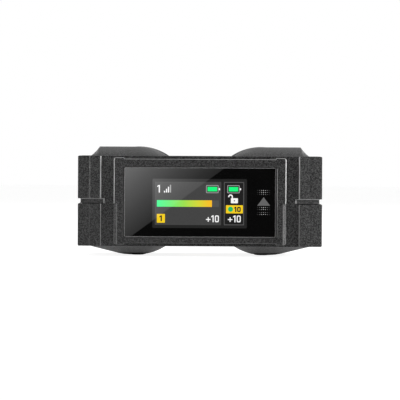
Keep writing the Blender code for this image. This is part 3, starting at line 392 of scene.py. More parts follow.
# Welds and snaps in millimetres, and angles in degrees
WELD = 0.0005
COPY_WELD = 0.002
PLATE_WELD = 0.0002
SPLIT_SNAP = 0.002
COPY_FLAT = 0.6
PLATE_FLAT = 0.5
SHARP_ANGLE = 28.0


def tidy(mesh, weld=WELD, flatten=0.0, splits=()):
    """Welds a mesh, joins its flat neighbours when asked and turns its faces outwards. Faces
    with holes or steps are first split, at places along x, depth or height by their number."""
    bm = bmesh.new()
    bm.from_mesh(mesh)
    bmesh.ops.remove_doubles(bm, verts=bm.verts, dist=weld * MM)
    bmesh.ops.dissolve_degenerate(bm, dist=weld * MM, edges=bm.edges)
    for axis, along in splits:
        geometry = bm.verts[:] + bm.edges[:] + bm.faces[:]
        middle = place(along, along, along)
        across = [float(n == axis) for n in range(3)]
        made = bmesh.ops.bisect_plane(
            bm, geom=geometry, dist=SPLIT_SNAP * MM, plane_co=middle, plane_no=across
        )
        for part in made["geom_cut"]:
            if isinstance(part, bmesh.types.BMEdge):
                part.seam = True
    if flatten:
        bmesh.ops.dissolve_limit(
            bm,
            angle_limit=math.radians(flatten),
            verts=bm.verts,
            edges=bm.edges,
            delimit={"SEAM"},
        )
    bmesh.ops.recalc_face_normals(bm, faces=bm.faces)
    for face in bm.faces:
        face.smooth = True
    bm.to_mesh(mesh)
    bm.free()


def shade_flats(obj):
    """Shades the piece's flats flat and its rounds round."""
    shading = obj.modifiers.new("shading", "WEIGHTED_NORMAL")
    shading.weight = 80
    return obj


def rounded(obj, attribute, width, segments, material=-1):
    """Rounds the edges that an attribute marks, by its share of the width."""
    bevel = obj.modifiers.new(attribute, "BEVEL")
    bevel.width = width * MM
    bevel.segments = segments
    bevel.limit_method = "WEIGHT"
    bevel.edge_weight = attribute
    bevel.use_clamp_overlap = False
    bevel.material = material


def mark_edges(mesh, rule):
    """Marks each sharp edge with its plain and its bright share, which the rule gives."""
    bm = bmesh.new()
    bm.from_mesh(mesh)
    plain = bm.edges.layers.float.new("plain_edges")
    bright = bm.edges.layers.float.new("bright_edges")
    for edge in bm.edges:
        if len(edge.link_faces) != 2:
            continue
        if edge.calc_face_angle(0.0) < math.radians(SHARP_ANGLE):
            continue
        first, last = (vert.co for vert in edge.verts)
        middle = (first + last) / 2 / MM
        edge[plain], edge[bright] = rule(
            middle.x, middle.y - FRONT_Y, middle.z - AXIS_Z, (last - first).normalized()
        )
    bm.to_mesh(mesh)
    bm.free()


def all_plain(x, depth, height, along):
    return 1.0, 0.0


def copied(node, material, slot, width, body=BODY, rule=all_plain, segments=2, splits=()):
    """A finer copy of a node's solid, with its edges rounded, the bright ones in a pale painted
    highlight.
    """
    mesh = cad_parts[node].data.copy()
    mesh.name = node + "_skin"
    obj = in_scene(node + "_skin", mesh)
    tidy(mesh, COPY_WELD, COPY_FLAT, splits)
    mark_edges(mesh, rule)
    dressed(obj, material, node, slot, body)
    mesh.materials.append(LOOKS["edge"])
    rounded(obj, "bright_edges", width, segments, 1)
    rounded(obj, "plain_edges", width, segments)
    return shade_flats(obj)


def turned(name, profile, steps, centre, axis, finish, radius_at=None, looped=False):
    """A turned piece. The profile's points are radius and place along the axis; finish is
    what piece takes after its faces."""
    points = []
    faces = []
    rows = []
    for index, (radius, along) in enumerate(profile):
        row = []
        for step in range(steps if radius else 1):
            angle = math.tau * step / steps
            reach = radius_at(index, radius, angle) if radius_at else radius
            row.append(len(points))
            points.append(axis(centre, *on_arc((0.0, 0.0), reach, angle), along))
        rows.append(row)
    if looped:
        rows.append(rows[0])
    for low, high in zip(rows, rows[1:]):
        for step in range(steps):
            corners = (
                low[step % len(low)],
                low[(step + 1) % len(low)],
                high[(step + 1) % len(high)],
                high[step % len(high)],
            )
            faces.append(tuple(dict.fromkeys(corners)))
    return piece(name, points, faces, *finish)


def along_depth(centre, u, v, t):
    return place(centre[0] + u, t, centre[1] + v)


def along_x(centre, u, v, t):
    return place(t, centre[0] + u, centre[1] + v)


def along_height(centre, u, v, t):
    return place(centre[0] + u, centre[1] + v, t)


CORNER_STEPS = 5
ARC_STEPS = 24


def on_arc(centre, radius, angle):
    return centre[0] + radius * math.cos(angle), centre[1] + radius * math.sin(angle)


def stadium(length, width, steps):
    """An oblong outline with round ends, long in its first coordinate."""
    half = (length - width) / 2
    outline = []
    for side in (1, -1):
        for step in range(steps + 1):
            u, v = on_arc((half, 0.0), width / 2, math.pi * (step / steps - 0.5))
            outline.append((side * u, side * v))
    return outline


def box_outline(left, low, right, high, radius):
    """A rectangle with rounded corners."""
    outline = []
    corners = ((right, high, 0), (left, high, 90), (left, low, 180), (right, low, 270))
    for x, y, start in corners:
        middle = (
            x + (radius if x == left else -radius),
            y + (radius if y == low else -radius),
        )
        for step in range(CORNER_STEPS + 1):
            angle = math.radians(start + 90 * step / CORNER_STEPS)
            outline.append(on_arc(middle, radius, angle))
    return outline


def lofted_rows(levels, axis, centre):
    """Points and faces of a solid through outlines of one length. Each level is an outline
    and its place along the axis."""
    points = []
    faces = []
    count = len(levels[0][0])
    for outline, along in levels:
        points.extend(axis(centre, u, v, along) for u, v in outline)
    for level in range(len(levels) - 1):
        for step in range(count):
            after = (step + 1) % count
            base = level * count
            faces.append(
                (base + step, base + after, base + count + after, base + count + step)
            )
    faces.append(tuple(range(count))[::-1])
    faces.append(tuple(range((len(levels) - 1) * count, len(levels) * count)))
    return points, faces


def lofted(name, levels, axis, centre, finish):
    return piece(name, *lofted_rows(levels, axis, centre), *finish)


def cut(obj, levels, axis, centre):
    """Cuts a lofted shape out of a piece, for good."""
    mesh = new_mesh("cutter", *lofted_rows(levels, axis, centre))
    tidy(mesh)
    tool = in_scene("cutter", mesh)
    change = obj.modifiers.new("cut", "BOOLEAN")
    change.operation = "DIFFERENCE"
    change.solver = "EXACT"
    change.object = tool
    result = shown_mesh(obj)
    obj.modifiers.remove(change)
    old = obj.data
    result.name = old.name + "_cut"
    obj.data = result
    bpy.data.meshes.remove(old)
    bpy.data.objects.remove(tool)
    bpy.data.meshes.remove(mesh)
    tidy(obj.data)


def plates(name, outlines, near, far, finish, facing="front"):
    """Thin plates from outlines in x and height, between two depths, or where they face up,
    in x and depth, between two heights. An inner outline is a hole."""
    curve = bpy.data.curves.new(name, "CURVE")
    curve.dimensions = "2D"
    curve.fill_mode = "BOTH"
    curve.extrude = abs(far - near) / 2 * MM
    for outline in outlines:
        spline = curve.splines.new("POLY")
        spline.points.add(len(outline) - 1)
        for point, (x, along) in zip(spline.points, outline):
            point.co = (x * MM, along * MM, 0.0, 1.0)
        spline.use_cyclic_u = True
    shape = in_scene(name + "_curve", curve)
    mesh = shown_mesh(shape)
    middle = (near + far) / 2
    if facing == "front":
        mesh.transform(Matrix.Rotation(math.radians(90), 4, "X"))
        mesh.transform(Matrix.Translation(place(0.0, middle, 0.0)))
    else:
        mesh.transform(Matrix.Translation(place(0.0, 0.0, middle)))
    mesh.name = name
    bpy.data.objects.remove(shape)
    bpy.data.curves.remove(curve)
    obj = in_scene(name, mesh)
    tidy(mesh, PLATE_WELD, PLATE_FLAT)
    for face in mesh.polygons:
        face.use_smooth = False
    dressed(obj, *finish)


def arc_band(centre, inner, outer, start, end):
    """A band between two arcs, with its angles in degrees."""
    outline = []
    for radius, first, last in ((outer, start, end), (inner, end, start)):
        for step in range(ARC_STEPS + 1):
            angle = math.radians(first + (last - first) * step / ARC_STEPS)
            outline.append(on_arc(centre, radius, angle))
    return outline


def cross(arm, half, share):
    """A cross outline, at a share of its size."""
    long = arm * share
    short = half * share
    quarter = [(short, long), (short, short), (long, short)]
    outline = []
    for turn in range(4):
        angle = -math.radians(90) * turn
        cosine, sine = math.cos(angle), math.sin(angle)
        outline.extend((u * cosine - v * sine, u * sine + v * cosine) for u, v in quarter)
    return outline


# Case: places that the rules for its edges and faces look for
BLOCK_INNER = 22.8
BLOCK_FACE = 0.7
CREASE = 25.5
SEAM = -0.6
GROOVE_TOP = 0.52
GROOVE_END = 22.15
GROOVE_INNER = 22.0
SHELL_FRONT = 2.2
DECK = 10.0
LOBE_FOOT = (7.0, 26.5)
LOBE_END = 48.0
BEZEL_FACE = 0.5
BEZEL_SIDE = 19.0
BEZEL_END = 9.0
WINDOW_HALF = 17.5
SCREW_X = 26.1
CLOSE = 0.1

# Shares of a direction that count as along an axis and as slanted to it
MOSTLY = 0.9
SLANTED = 0.3


def shell_edges(x, depth, height, along):
    """The plain and the bright share of a shell's edge; bright edges take a painted highlight,
    most on the blocks' inner edges.
    """
    across = abs(x)
    front = depth < SHELL_FRONT
    upright_front = front and abs(along.z) > MOSTLY
    if upright_front and abs(across - BLOCK_INNER) < CLOSE and depth < BLOCK_FACE:
        return 0.0, 1.0
    # A faint painted highlight along the crease of the left block only
    if upright_front and abs(across - CREASE) < 2 * CLOSE:
        return 0.0, 0.06 if x < 0 else 0.0
    if upright_front and abs(across - GROOVE_END) < CLOSE:
        return 0.0, 0.5
    if front and abs(height - GROOVE_TOP) < CLOSE / 2:
        return 0.0, 0.3
    if abs(height - SEAM) < 2 * CLOSE:
        return 0.1, 0.0
    if front and abs(height) > DECK:
        return 0.15, 0.0
    if abs(height) > DECK and LOBE_FOOT[0] < across < LOBE_FOOT[1] and depth < LOBE_END:
        return 0.0, 0.0
    return 0.5, 0.0


def bezel_edges(x, depth, height, along):
    """The bezel's outer sides get the most painted highlight, then the right side of its pocket
    and its other outer edges."""
    if depth > BEZEL_FACE:
        return 0.3, 0.0
    if abs(along.z) > MOSTLY and abs(x) > BEZEL_SIDE:
        return 0.0, 1.0 if height > SEAM else 0.4
    if abs(height) > BEZEL_END:
        return 0.0, 0.4
    if abs(along.z) > MOSTLY and x > 0 and depth < CLOSE:
        return 0.0, 0.45
    return 0.4, 0.0


# Bevel widths, and splits by axis and place
SHELLS = {"upper_shell": (0.25, [(0, 0.0)]), "lower_shell": (0.20, [])}
BEZEL_BEVEL = 0.20
BEZEL_SPLITS = [(0, 0.0), (0, -WINDOW_HALF), (0, WINDOW_HALF), (2, SEAM)]
BULKHEAD_BEVEL = 0.12
BULKHEAD_SPLITS = [(0, x) for x in (0.0, -TUBE_X, TUBE_X, -SCREW_X, SCREW_X)]

for name, (bevel, splits) in SHELLS.items():
    shell = copied(name, "case", "case_plastic", bevel, rule=shell_edges, splits=splits)
    # The groove's floor faces take a lighter copy of the case plastic: painted light against the
    # shade in the groove
    shell.data.materials.append(LOOKS["groove"])
    for face in shell.data.polygons:
        x = face.center.x / MM
        height = face.center.z / MM - AXIS_Z
        in_groove = SEAM < height < GROOVE_TOP and abs(x) > GROOVE_INNER
        if in_groove and face.normal.y < -MOSTLY:
            face.material_index = 2
bezel = copied(
    "front_bezel", "bezel", "case_plastic", BEZEL_BEVEL, rule=bezel_edges, splits=BEZEL_SPLITS
)
# The bezel's slanted chamfer faces take a paler copy of the case plastic: a painted highlight
bezel.data.materials.append(LOOKS["chamfer"])
for face in bezel.data.polygons:
    if SLANTED < abs(face.normal.x) < MOSTLY and face.normal.y < -SLANTED:
        face.material_index = 2
copied("rear_bulkhead", "black", "case_plastic", BULKHEAD_BEVEL, splits=BULKHEAD_SPLITS)

# A tongue inside the seam closes it, clear of the socket, and two strips do beside the bezel
TONGUE = (26.7, 27.3)
TONGUE_FRONT = (2.2, 2.7)
TONGUE_END = 48.9
TONGUE_START = 20.3
SOCKET_SPAN = (4.6, 9.0)
TONGUE_HALF = 0.16
STRIP = (19.95, 22.2)
STRIP_DEPTHS = (0.92, 2.4)
STRIP_HALF = 0.075


def seam_lip(side, end):
    """The lip along the front and one side of the seam, as far as an end."""
    inner, outer, start = (side * x for x in (*TONGUE, TONGUE_START))
    near, far = TONGUE_FRONT
    return [(start, near), (outer, near), (outer, end), (inner, end), (inner, far), (start, far)]


rear_lip = box_outline(-TONGUE[1], SOCKET_SPAN[1], -TONGUE[0], TONGUE_END, 0.1)
plates(
    "seam_tongue",
    [seam_lip(1, TONGUE_END), seam_lip(-1, SOCKET_SPAN[0]), rear_lip],
    SEAM - TONGUE_HALF,
    SEAM + TONGUE_HALF,
    ("case", None, "case_plastic"),
    "up",
)
strips = []
for side in (-1, 1):
    near, far = STRIP_DEPTHS
    inner, outer = (side * x for x in STRIP)
    strips.append([(inner, near), (outer, near), (outer, far), (inner, far)])
plates(
    "seam_strips",
    strips,
    SEAM - STRIP_HALF,
    SEAM + STRIP_HALF,
    ("case", None, "case_plastic"),
    "up",
)


# Window
GLASS = (-WINDOW_HALF, -8.305, WINDOW_HALF, 7.80)
GLASS_CORNER = 0.3
GLASS_FRONT = 0.35
GLASS_BEVEL = 0.16
GLASS_BACK = (1.38, 1.45)
SEAL_FRONT = 0.46
LEAST_CORNER = 0.1
POCKET = (-17.8, -8.605, 17.8, 7.945)
POCKET_CORNER = 0.6


def inset_box(box, inset, radius):
    left, low, right, high = box
    corner = max(radius - inset, LEAST_CORNER)
    return box_outline(left + inset, low + inset, right - inset, high - inset, corner)


pane = lofted(
    "window_pane",
    [
        (inset_box(GLASS, GLASS_BEVEL, GLASS_CORNER), GLASS_FRONT),
        (inset_box(GLASS, 0.0, GLASS_CORNER), GLASS_FRONT + GLASS_BEVEL),
        (inset_box(GLASS, 0.0, GLASS_CORNER), GLASS_BACK[0]),
        (inset_box(GLASS, 0.07, GLASS_CORNER), GLASS_BACK[1]),
    ],
    along_depth,
    (0.0, 0.0),
    ("glass", "display_glass", "window_glass"),
)

# The seal round the pane is a lighter grey than the other black rubber: painted light along the
# window's rim
plates(
    "window_seal",
    [inset_box(POCKET, 0.0, POCKET_CORNER), inset_box(GLASS, 0.0, GLASS_CORNER)],
    SEAL_FRONT,
    GLASS_BACK[0],
    ("seal", None, "black_rubber"),
)


# Display picture, from places read off the photograph


def framed(left, top, right, bottom, radius):
    """A rounded box between two columns and two rows of the photograph."""
    low = seen(left, bottom)
    high = seen(right, top)
    return box_outline(*low, *high, radius * PIXEL)


def drawn(points):
    return [seen(*point) for point in points]


SCREEN = (152.5, 178.9, 246.9, 228.0)
SCREEN_CORNER = 1.2
BACKDROP = (152.52, 178.92, 246.88, 227.98)
LEFT_FIELD = (155.0, 181.8, 221.2, 225.0)
RIGHT_FIELD = (223.9, 181.8, 244.1, 225.0)
RIGHT_INNER = (224.8, 182.7, 243.2, 224.1)
BAR = (157.0, 200.2, 212.0, 206.8)
TRACK_END = 219.0
BATTERY_ROWS = (185.0, 193.0)
GAIN_ROWS = (215.2, 222.0)
PLUS_HALF = 0.5
SIGNAL_LEFT = 164.0
SIGNAL_PITCH = 1.98
SIGNAL_WIDTH = 1.15
SIGNAL_RISE = 2.0
SIGNAL_ROWS = (190.9, 192.6)
ICON = (0.340, 0.345)
LAYERS = [(0.375, 1.30), (0.370, 0.374), (0.365, 0.369), (0.360, 0.364)]
DOT_PITCH = 2.0
DOT_COLUMNS = [257.5 + DOT_PITCH * n for n in range(7)]
DOT_ROWS = {"dots": (190.1, 192.1, 207.1, 209.1, 214.1), "faint_dots": (194.1, 212.1)}
DOT_HALF = 0.36
DOT_TONES = (0.04, 0.16, 0.42, 0.66, 0.42, 0.16, 0.04)

SCREEN_COLOURS = {
    "dark": grey(0.0175),
    "field": grey(0.058),
    "field_dark": grey(0.0135),
    "field_line": grey(0.085),
    "track": grey(0.085),
    "white": grey(0.98),
    "pale": grey(0.42),
    "dim": grey(0.33),
    "green": (0.013, 1.0, 0.22, 1.0),
    "disc": (0.011, 0.50, 0.15, 1.0),
    "yellow": (0.96, 0.65, 0.015, 1.0),
    "dark_mark": grey(0.02),
}
for name, colour in SCREEN_COLOURS.items():
    LOOKS[name] = lit("screen_" + name, [colour])
LOOKS["icon"] = lit("touch_icon", [grey(0.130)])
dot_ends = (seen(DOT_COLUMNS[0], 0)[0], seen(DOT_COLUMNS[-1], 0)[0])
dot_stops = [grey(tone) for tone in DOT_TONES]
LOOKS["dots"] = lit("touch_dots", dot_stops, 1.0, dot_ends)
LOOKS["faint_dots"] = lit("touch_dots_faint", dot_stops, 0.5, dot_ends)
LOOKS["bar"] = lit(
    "screen_bar",
    [
        (0.040, 0.95, 0.30, 1.0),
        (0.155, 0.87, 0.18, 1.0),
        (0.342, 0.76, 0.08, 1.0),
        (0.660, 0.68, 0.04, 1.0),
        (1.000, 0.50, 0.018, 1.0),
    ],
    1.0,
    (seen(BAR[0], 0)[0], seen(BAR[2], 0)[0]),
)


def digit_one(left, top, bottom, width, bar=1.1):
    right = left + width
    return drawn(
        [
            (right - bar, bottom),
            (right, bottom),
            (right, top),
            (right - bar, top),
            (left, top + 1.1),
            (left, top + 2.1),
            (right - bar, top + 1.3),
        ]
    )


def digit_zero(left, top, right, bottom, bar=1.05):
    inner = framed(left + bar, top + bar, right - bar, bottom - bar, 0.5)
    return [framed(left, top, right, bottom, 1.3), inner]


def plus_sign(left, top, side):
    half = side / 2
    return drawn([(left + half + u, top + half + v) for u, v in cross(half, PLUS_HALF, 1.0)])


def plus_ten(left, top, bottom):
    """A plus sign and the number ten."""
    return [
        plus_sign(left, top + 1.8, 4.6),
        digit_one(left + 5.2, top, bottom, 2.5),
        *digit_zero(left + 8.9, top, left + 12.9, bottom),
    ]


def battery(left, top, right, bottom):
    """A battery's outline, its nub and the charge inside it."""
    nub = 1.4
    wall = 0.75
    end = right - nub
    body = framed(left, top, end, bottom, 0.9)
    hollow = framed(left + wall, top + wall, end - wall, bottom - wall, 0.4)
    tip = framed(end + 0.1, top + 3.0, right, bottom - 3.0, 0.3)
    charge = framed(left + 1.6, top + 1.8, end - 1.5, bottom - 1.8, 0.2)
    return [body, hollow], tip, charge


def screen_plates(name, outlines, layer, material):
    plates(name, outlines, *LAYERS[layer], (material, None, "display_face"))


left_frame, left_tip, left_charge = battery(206.0, BATTERY_ROWS[0], 220.0, BATTERY_ROWS[1])
right_frame, right_tip, right_charge = battery(227.2, BATTERY_ROWS[0], 241.0, BATTERY_ROWS[1])
right_inner = framed(*RIGHT_INNER, 0.4)
right_outline = [framed(*RIGHT_FIELD, 0.7), right_inner]
track = framed(BAR[2], BAR[1], TRACK_END, BAR[3], 0.3)

screen_plates("screen_backdrop", [framed(*BACKDROP, SCREEN_CORNER)], 0, "dark")
screen_plates("screen_field_left", [framed(*LEFT_FIELD, 0.5)], 1, "field")
screen_plates("screen_field_right", [right_inner], 1, "field_dark")
screen_plates("screen_outline_right", right_outline, 2, "field_line")
screen_plates("screen_level_track", [track], 2, "track")
screen_plates("screen_level_bar", [framed(*BAR, 0.3)], 2, "bar")
screen_plates(
    "screen_numbers",
    [
        digit_one(157.3, 185.1, 192.7, 2.7, 1.2),
        *plus_ten(206.1, *GAIN_ROWS),
        *plus_ten(227.9, *GAIN_ROWS),
    ],
    2,
    "white",
)
screen_plates("screen_battery_frames", left_frame + right_frame, 2, "dim")
screen_plates("screen_battery_tips", [left_tip, right_tip], 2, "white")
screen_plates("screen_battery_charges", [left_charge, right_charge], 2, "green")
signal = []
for step in range(4):
    column = SIGNAL_LEFT + SIGNAL_PITCH * step
    top = SIGNAL_ROWS[0] - SIGNAL_RISE * step
    signal.append(framed(column, top, column + SIGNAL_WIDTH, SIGNAL_ROWS[1], 0.1))
screen_plates("screen_signal", signal[:3], 2, "white")
screen_plates("screen_signal_last", signal[3:], 2, "pale")
shackle = [
    (232.9, 198.0), (232.9, 196.0), (232.4, 194.9), (231.3, 194.2), (229.9, 194.2), (228.8, 194.9),
    (228.2, 196.0), (228.2, 196.9), (229.4, 196.9), (229.4, 196.1), (230.1, 195.4), (231.0, 195.4),
    (231.7, 196.1), (231.7, 198.0),
]
padlock = [
    framed(230.9, 198.0, 237.9, 203.0, 0.5),
    drawn(shackle),
    framed(233.8, 199.9, 235.0, 201.1, 0.3),
]
screen_plates("screen_padlock", padlock, 2, "white")
screen_plates(
    "screen_tags",
    [framed(157.0, 214.0, 165.1, 222.8, 0.5), framed(226.0, 205.0, 242.9, 213.1, 0.5)],
    2,
    "yellow",
)
screen_plates("screen_tag_disc", [framed(228.0, 206.4, 233.1, 211.6, 2.5)], 3, "disc")
screen_plates(
    "screen_tag_marks",
    [
        digit_one(159.5, 215.5, 221.3, 2.6, 1.3),
        digit_one(234.1, 206.5, 211.7, 2.3, 1.3),
        *digit_zero(237.1, 206.5, 240.8, 211.7, 1.25),
    ],
    3,
    "dark_mark",
)

# The picture shows in an opening of the pane, and the touch key's marks lie on the pane
opening = framed(*SCREEN, SCREEN_CORNER)
cut(pane, [(opening, -1.0), (opening, 3.0)], along_depth, (0.0, 0.0))
# The pane's slanted bevel faces are painted pale grey: a painted highlight along the glass edge
pane.data.materials.append(LOOKS["glass_edge_highlight"])
for face in pane.data.polygons:
    face.use_smooth = False
    if -MOSTLY < face.normal.y < -SLANTED:
        face.material_index = len(pane.data.materials) - 1
plates(
    "touch_triangle",
    [drawn([(257.2, 205.3), (270.1, 205.3), (263.6, 196.8)])],
    *ICON,
    ("icon", None, "display_face"),
)
for name, rows in DOT_ROWS.items():
    dots = []
    for column in DOT_COLUMNS:
        left, right = column - DOT_HALF, column + DOT_HALF
        dots.extend(framed(left, row - DOT_HALF, right, row + DOT_HALF, 0.3) for row in rows)
    plates("touch_" + name, dots, *ICON, (name, None, "display_face"))


# Ports
PORT_DEPTH = 6.8
USB_MIDDLE = (PORT_DEPTH, 0.0)
USB_MOUTH = (8.94, 3.2)
USB_STEPS = 12
USB_FACE = -27.5
USB_BACK = -20.2
CONTACTS = 12
CONTACT_PITCH = 0.5
CONTACT_HALF = 0.14
CONTACT_FACES = (0.352, 0.385)
CONTACT_ENDS = (USB_BACK - 1.2, USB_FACE + 1.8)


def usb_outline(wall):
    length, width = (size - 2 * wall for size in USB_MOUTH)
    return [(v, u) for u, v in stadium(length, width, USB_STEPS)]


lofted(
    "usb_shell",
    [
        (usb_outline(0.0), USB_BACK),
        (usb_outline(0.0), USB_FACE + 0.15),
        (usb_outline(0.06), USB_FACE + 0.03),
        (usb_outline(0.15), USB_FACE),
        (usb_outline(0.24), USB_FACE + 0.03),
        (usb_outline(0.32), USB_FACE + 0.2),
        (usb_outline(0.36), USB_FACE + 0.5),
        (usb_outline(0.36), USB_BACK - 0.5),
    ],
    along_x,
    USB_MIDDLE,
    ("steel", "usb_socket", "bright_steel"),
)


def usb_tongue(thickness, half):
    return box_outline(-thickness / 2, -half, thickness / 2, half, 0.15)


lofted(
    "usb_tongue",
    [
        (usb_tongue(0.7, 3.3), USB_BACK - 0.52),
        (usb_tongue(0.7, 3.3), USB_FACE + 1.5),
        (usb_tongue(0.4, 3.1), USB_FACE + 1.0),
    ],
    along_x,
    USB_MIDDLE,
    ("black", None, "black_plastic"),
)
pads = []
pad_faces = []
for side in (-1, 1):
    near, far = (side * reach for reach in CONTACT_FACES)
    for number in range(CONTACTS):
        middle = (number - (CONTACTS - 1) / 2) * CONTACT_PITCH
        low = middle - CONTACT_HALF
        high = middle + CONTACT_HALF
        outline = [(near, low), (far, low), (far, high), (near, high)]
        ends = [(outline, end) for end in CONTACT_ENDS]
        points, faces = lofted_rows(ends, along_x, USB_MIDDLE)
        start = len(pads)
        pads.extend(points)
        pad_faces.extend(tuple(start + n for n in face) for face in faces)
piece("usb_contacts", pads, pad_faces, "gold", None, "gold_contact")

JACKS = {"line_out_jack": -5.0, "headphone_jack": 5.0}
SLEEVE = [
    (1.76, 19.8), (1.76, 27.3), (1.74, 27.36), (1.66, 27.36), (1.62, 27.3), (1.62, 24.6),
    (1.50, 24.3), (1.50, 23.6), (1.62, 23.3), (1.62, 19.8),
]
ROUND_STEPS = 40
for node, height in JACKS.items():
    copied(node, "black", "black_plastic", 0.06)
    turned(
        node + "_sleeve",
        SLEEVE,
        ROUND_STEPS,
        (PORT_DEPTH, height),
        along_x,
        ("gold", None, "gold_contact"),
        looped=True,
    )


# Keys on the deck
KEY_TOP = 10.355
PRINT = (KEY_TOP + 0.005, KEY_TOP + 0.03)
KEY_BEVEL = 0.22
POWER_MIDDLE = (0.0, 21.0)
POWER_BAR = [(-0.12, 21.35), (0.12, 21.35), (0.12, 22.15), (-0.12, 22.15)]
WAVE_MIDDLE = (0.0, 26.75)
WAVE_SWEEP = (40, 140)
for name in ("power", "link"):
    copied(name + "_button", "button", "black_plastic", KEY_BEVEL, name + "_key", segments=3)
plates(
    "power_mark",
    [arc_band(POWER_MIDDLE, 0.72, 0.95, 125, 415), POWER_BAR],
    *PRINT,
    ("print", None, "black_plastic", "power_key"),
    facing="up",
)
plates(
    "link_mark",
    [
        arc_band(WAVE_MIDDLE, 0.0001, 0.25, 0, 359.9),
        arc_band(WAVE_MIDDLE, 0.62, 0.84, *WAVE_SWEEP),
        arc_band(WAVE_MIDDLE, 1.15, 1.37, *WAVE_SWEEP),
    ],
    *PRINT,
    ("print", None, "black_plastic", "link_key"),
    facing="up",
)
copied("status_light_pipe", "clear", "clear_plastic", 0.12)


# Battery caps
CAP_X = {"left": -TUBE_X, "right": TUBE_X}
CAP_STEPS = 360
GRIP = 11.6
SCALLOPS = 10
SCALLOP_RADIUS = 1.6
SCALLOP_REACH = GRIP + 0.9
SLOT = (14.0, 1.8)
SLOT_STEPS = 8
SLOT_LEVELS = [(-0.2, 53.9), (0.0, 54.0), (0.0, 55.05), (0.3, 55.2), (0.5, 55.4)]
CAP_RIM = [
    (0.0, 49.1), (8.85, 49.1), (9.0, 49.25), (9.0, 49.75), (8.85, 49.9), (8.1, 49.9),
    (8.1, 51.7), (12.25, 51.7), (12.42, 51.76), (12.58, 51.9), (12.6, 52.1), (12.6, 52.35),
    (12.5, 52.45), (12.5, 52.55), (12.6, 52.65), (12.6, 52.9), (12.58, 53.1),
    (12.42, 53.24), (12.25, 53.3), (11.85, 53.3),
]
CAP_GRIP = [
    (11.66, 53.36), (11.6, 53.55), (11.6, 54.75), (11.52, 55.0), (11.3, 55.16),
    (11.05, 55.2),
]
CAP_FACE = [(9.9, 55.2), (9.72, 55.02), (9.42, 55.02), (9.24, 55.2), (0.0, 55.2)]


def cap_radius(index, radius, angle):
    """The cap's outline, with scallops round its grip."""
    if not 0 <= index - len(CAP_RIM) < len(CAP_GRIP):
        return radius
    pitch = math.tau / SCALLOPS
    off = angle % pitch - pitch / 2
    across = SCALLOP_RADIUS**2 - (SCALLOP_REACH * math.sin(off)) ** 2
    if across <= 0:
        return radius
    hollow = SCALLOP_REACH * math.cos(off) - math.sqrt(across)
    return min(radius, hollow - (GRIP - radius))


def slot_outline(extra):
    return stadium(SLOT[0] + extra, SLOT[1] + extra, SLOT_STEPS)


for side, middle in CAP_X.items():
    cap = turned(
        "battery_cap_" + side + "_skin",
        CAP_RIM + CAP_GRIP + CAP_FACE,
        CAP_STEPS,
        (middle, 0.0),
        along_depth,
        ("cap", "battery_cap_" + side, "cap_metal", side + "_cap"),
        cap_radius,
    )
    levels = [(slot_outline(extra), along) for extra, along in SLOT_LEVELS]
    cut(cap, levels, along_depth, (middle, 0.0))
    shade_flats(cap)


# Screws
CASE_SCREWS = {"case_screw_front": 12.2, "case_screw_rear": 40.5}
CASE_SCREW = dict(face=-10.205, inwards=1, head=1.2, head_radius=1.8, shank_radius=0.9, tip=3.6)
SCREW_HEIGHTS = (8.305, -8.305)
BULKHEAD_SCREWS = [(x, height) for height in SCREW_HEIGHTS for x in (-SCREW_X, SCREW_X)]
BULKHEAD_SCREW = dict(face=50.9, inwards=-1, head=0.9, head_radius=1.4, shank_radius=0.7, tip=45.8)
CROSS_ARM = 0.62
CROSS_HALF = 0.16


def screw(node, centre, axis, face, inwards, head, head_radius, shank_radius, tip):
    """A cross-head screw with a slightly domed head."""

    def at(depth):
        return face + inwards * depth

    profile = [
        (0.0, at(0.0)),
        (head_radius * 0.62, at(0.0)),
        (head_radius * 0.86, at(0.06)),
        (head_radius * 0.97, at(0.20)),
        (head_radius, at(0.36)),
        (head_radius, at(head)),
        (shank_radius, at(head)),
        (shank_radius, tip - inwards * shank_radius),
        (0.0, tip),
    ]
    finish = ("screw", node, "bright_steel")
    obj = turned(node + "_turned", profile, ROUND_STEPS, centre, axis, finish)
    arm = head_radius * CROSS_ARM
    half = head_radius * CROSS_HALF
    levels = [
        (cross(arm, half, 0.75), at(0.5)),
        (cross(arm, half, 1.0), at(0.02)),
        (cross(arm, half, 1.12), at(-0.2)),
    ]
    cut(obj, levels, axis, centre)
    shade_flats(obj)


for node, depth in CASE_SCREWS.items():
    screw(node, (0.0, depth), along_height, **CASE_SCREW)
for number, middle in enumerate(BULKHEAD_SCREWS, 1):
    screw(f"bulkhead_screw_{number}", middle, along_depth, **BULKHEAD_SCREW)


# Threaded insert
INSERT_LOW = -10.305
INSERT_HIGH = -5.499
THREAD_PITCH = 1.27
THREAD_DEPTH = 0.45
THREAD_ROWS = 46
INSERT_MIDDLE = (0.0, 26.0)
INSERT_STEPS = 56
INSERT_BORE = 2.6
INSERT_LEAD = 0.3
INSERT_MOUTH = 3.05
threaded = INSERT_HIGH - INSERT_LOW - 2 * INSERT_LEAD
insert_profile = [(INSERT_MOUTH, INSERT_LOW)]
for row in range(THREAD_ROWS + 1):
    along = INSERT_LOW + INSERT_LEAD + threaded * row / THREAD_ROWS
    insert_profile.append((INSERT_BORE, along))
insert_profile += [
    (INSERT_MOUTH, INSERT_HIGH),
    (4.0, INSERT_HIGH),
    (4.1, INSERT_HIGH - 0.1),
    (4.1, INSERT_LOW + 0.2),
    (3.9, INSERT_LOW),
]


def thread_radius(index, radius, angle):
    """The insert's bore with its helical thread cut outwards from the minor radius."""
    if not 1 <= index <= THREAD_ROWS + 1:
        return radius
    turns = (insert_profile[index][1] - INSERT_LOW) / THREAD_PITCH - angle / math.tau
    share = abs(2 * (turns % 1.0) - 1)
    return radius + THREAD_DEPTH * min(max(share * 1.25 - 0.125, 0.0), 1.0)


turned(
    "mount_insert_threaded",
    insert_profile,
    INSERT_STEPS,
    INSERT_MIDDLE,
    along_height,
    ("brass", "mount_insert", "brass"),
    thread_radius,
    looped=True,
)


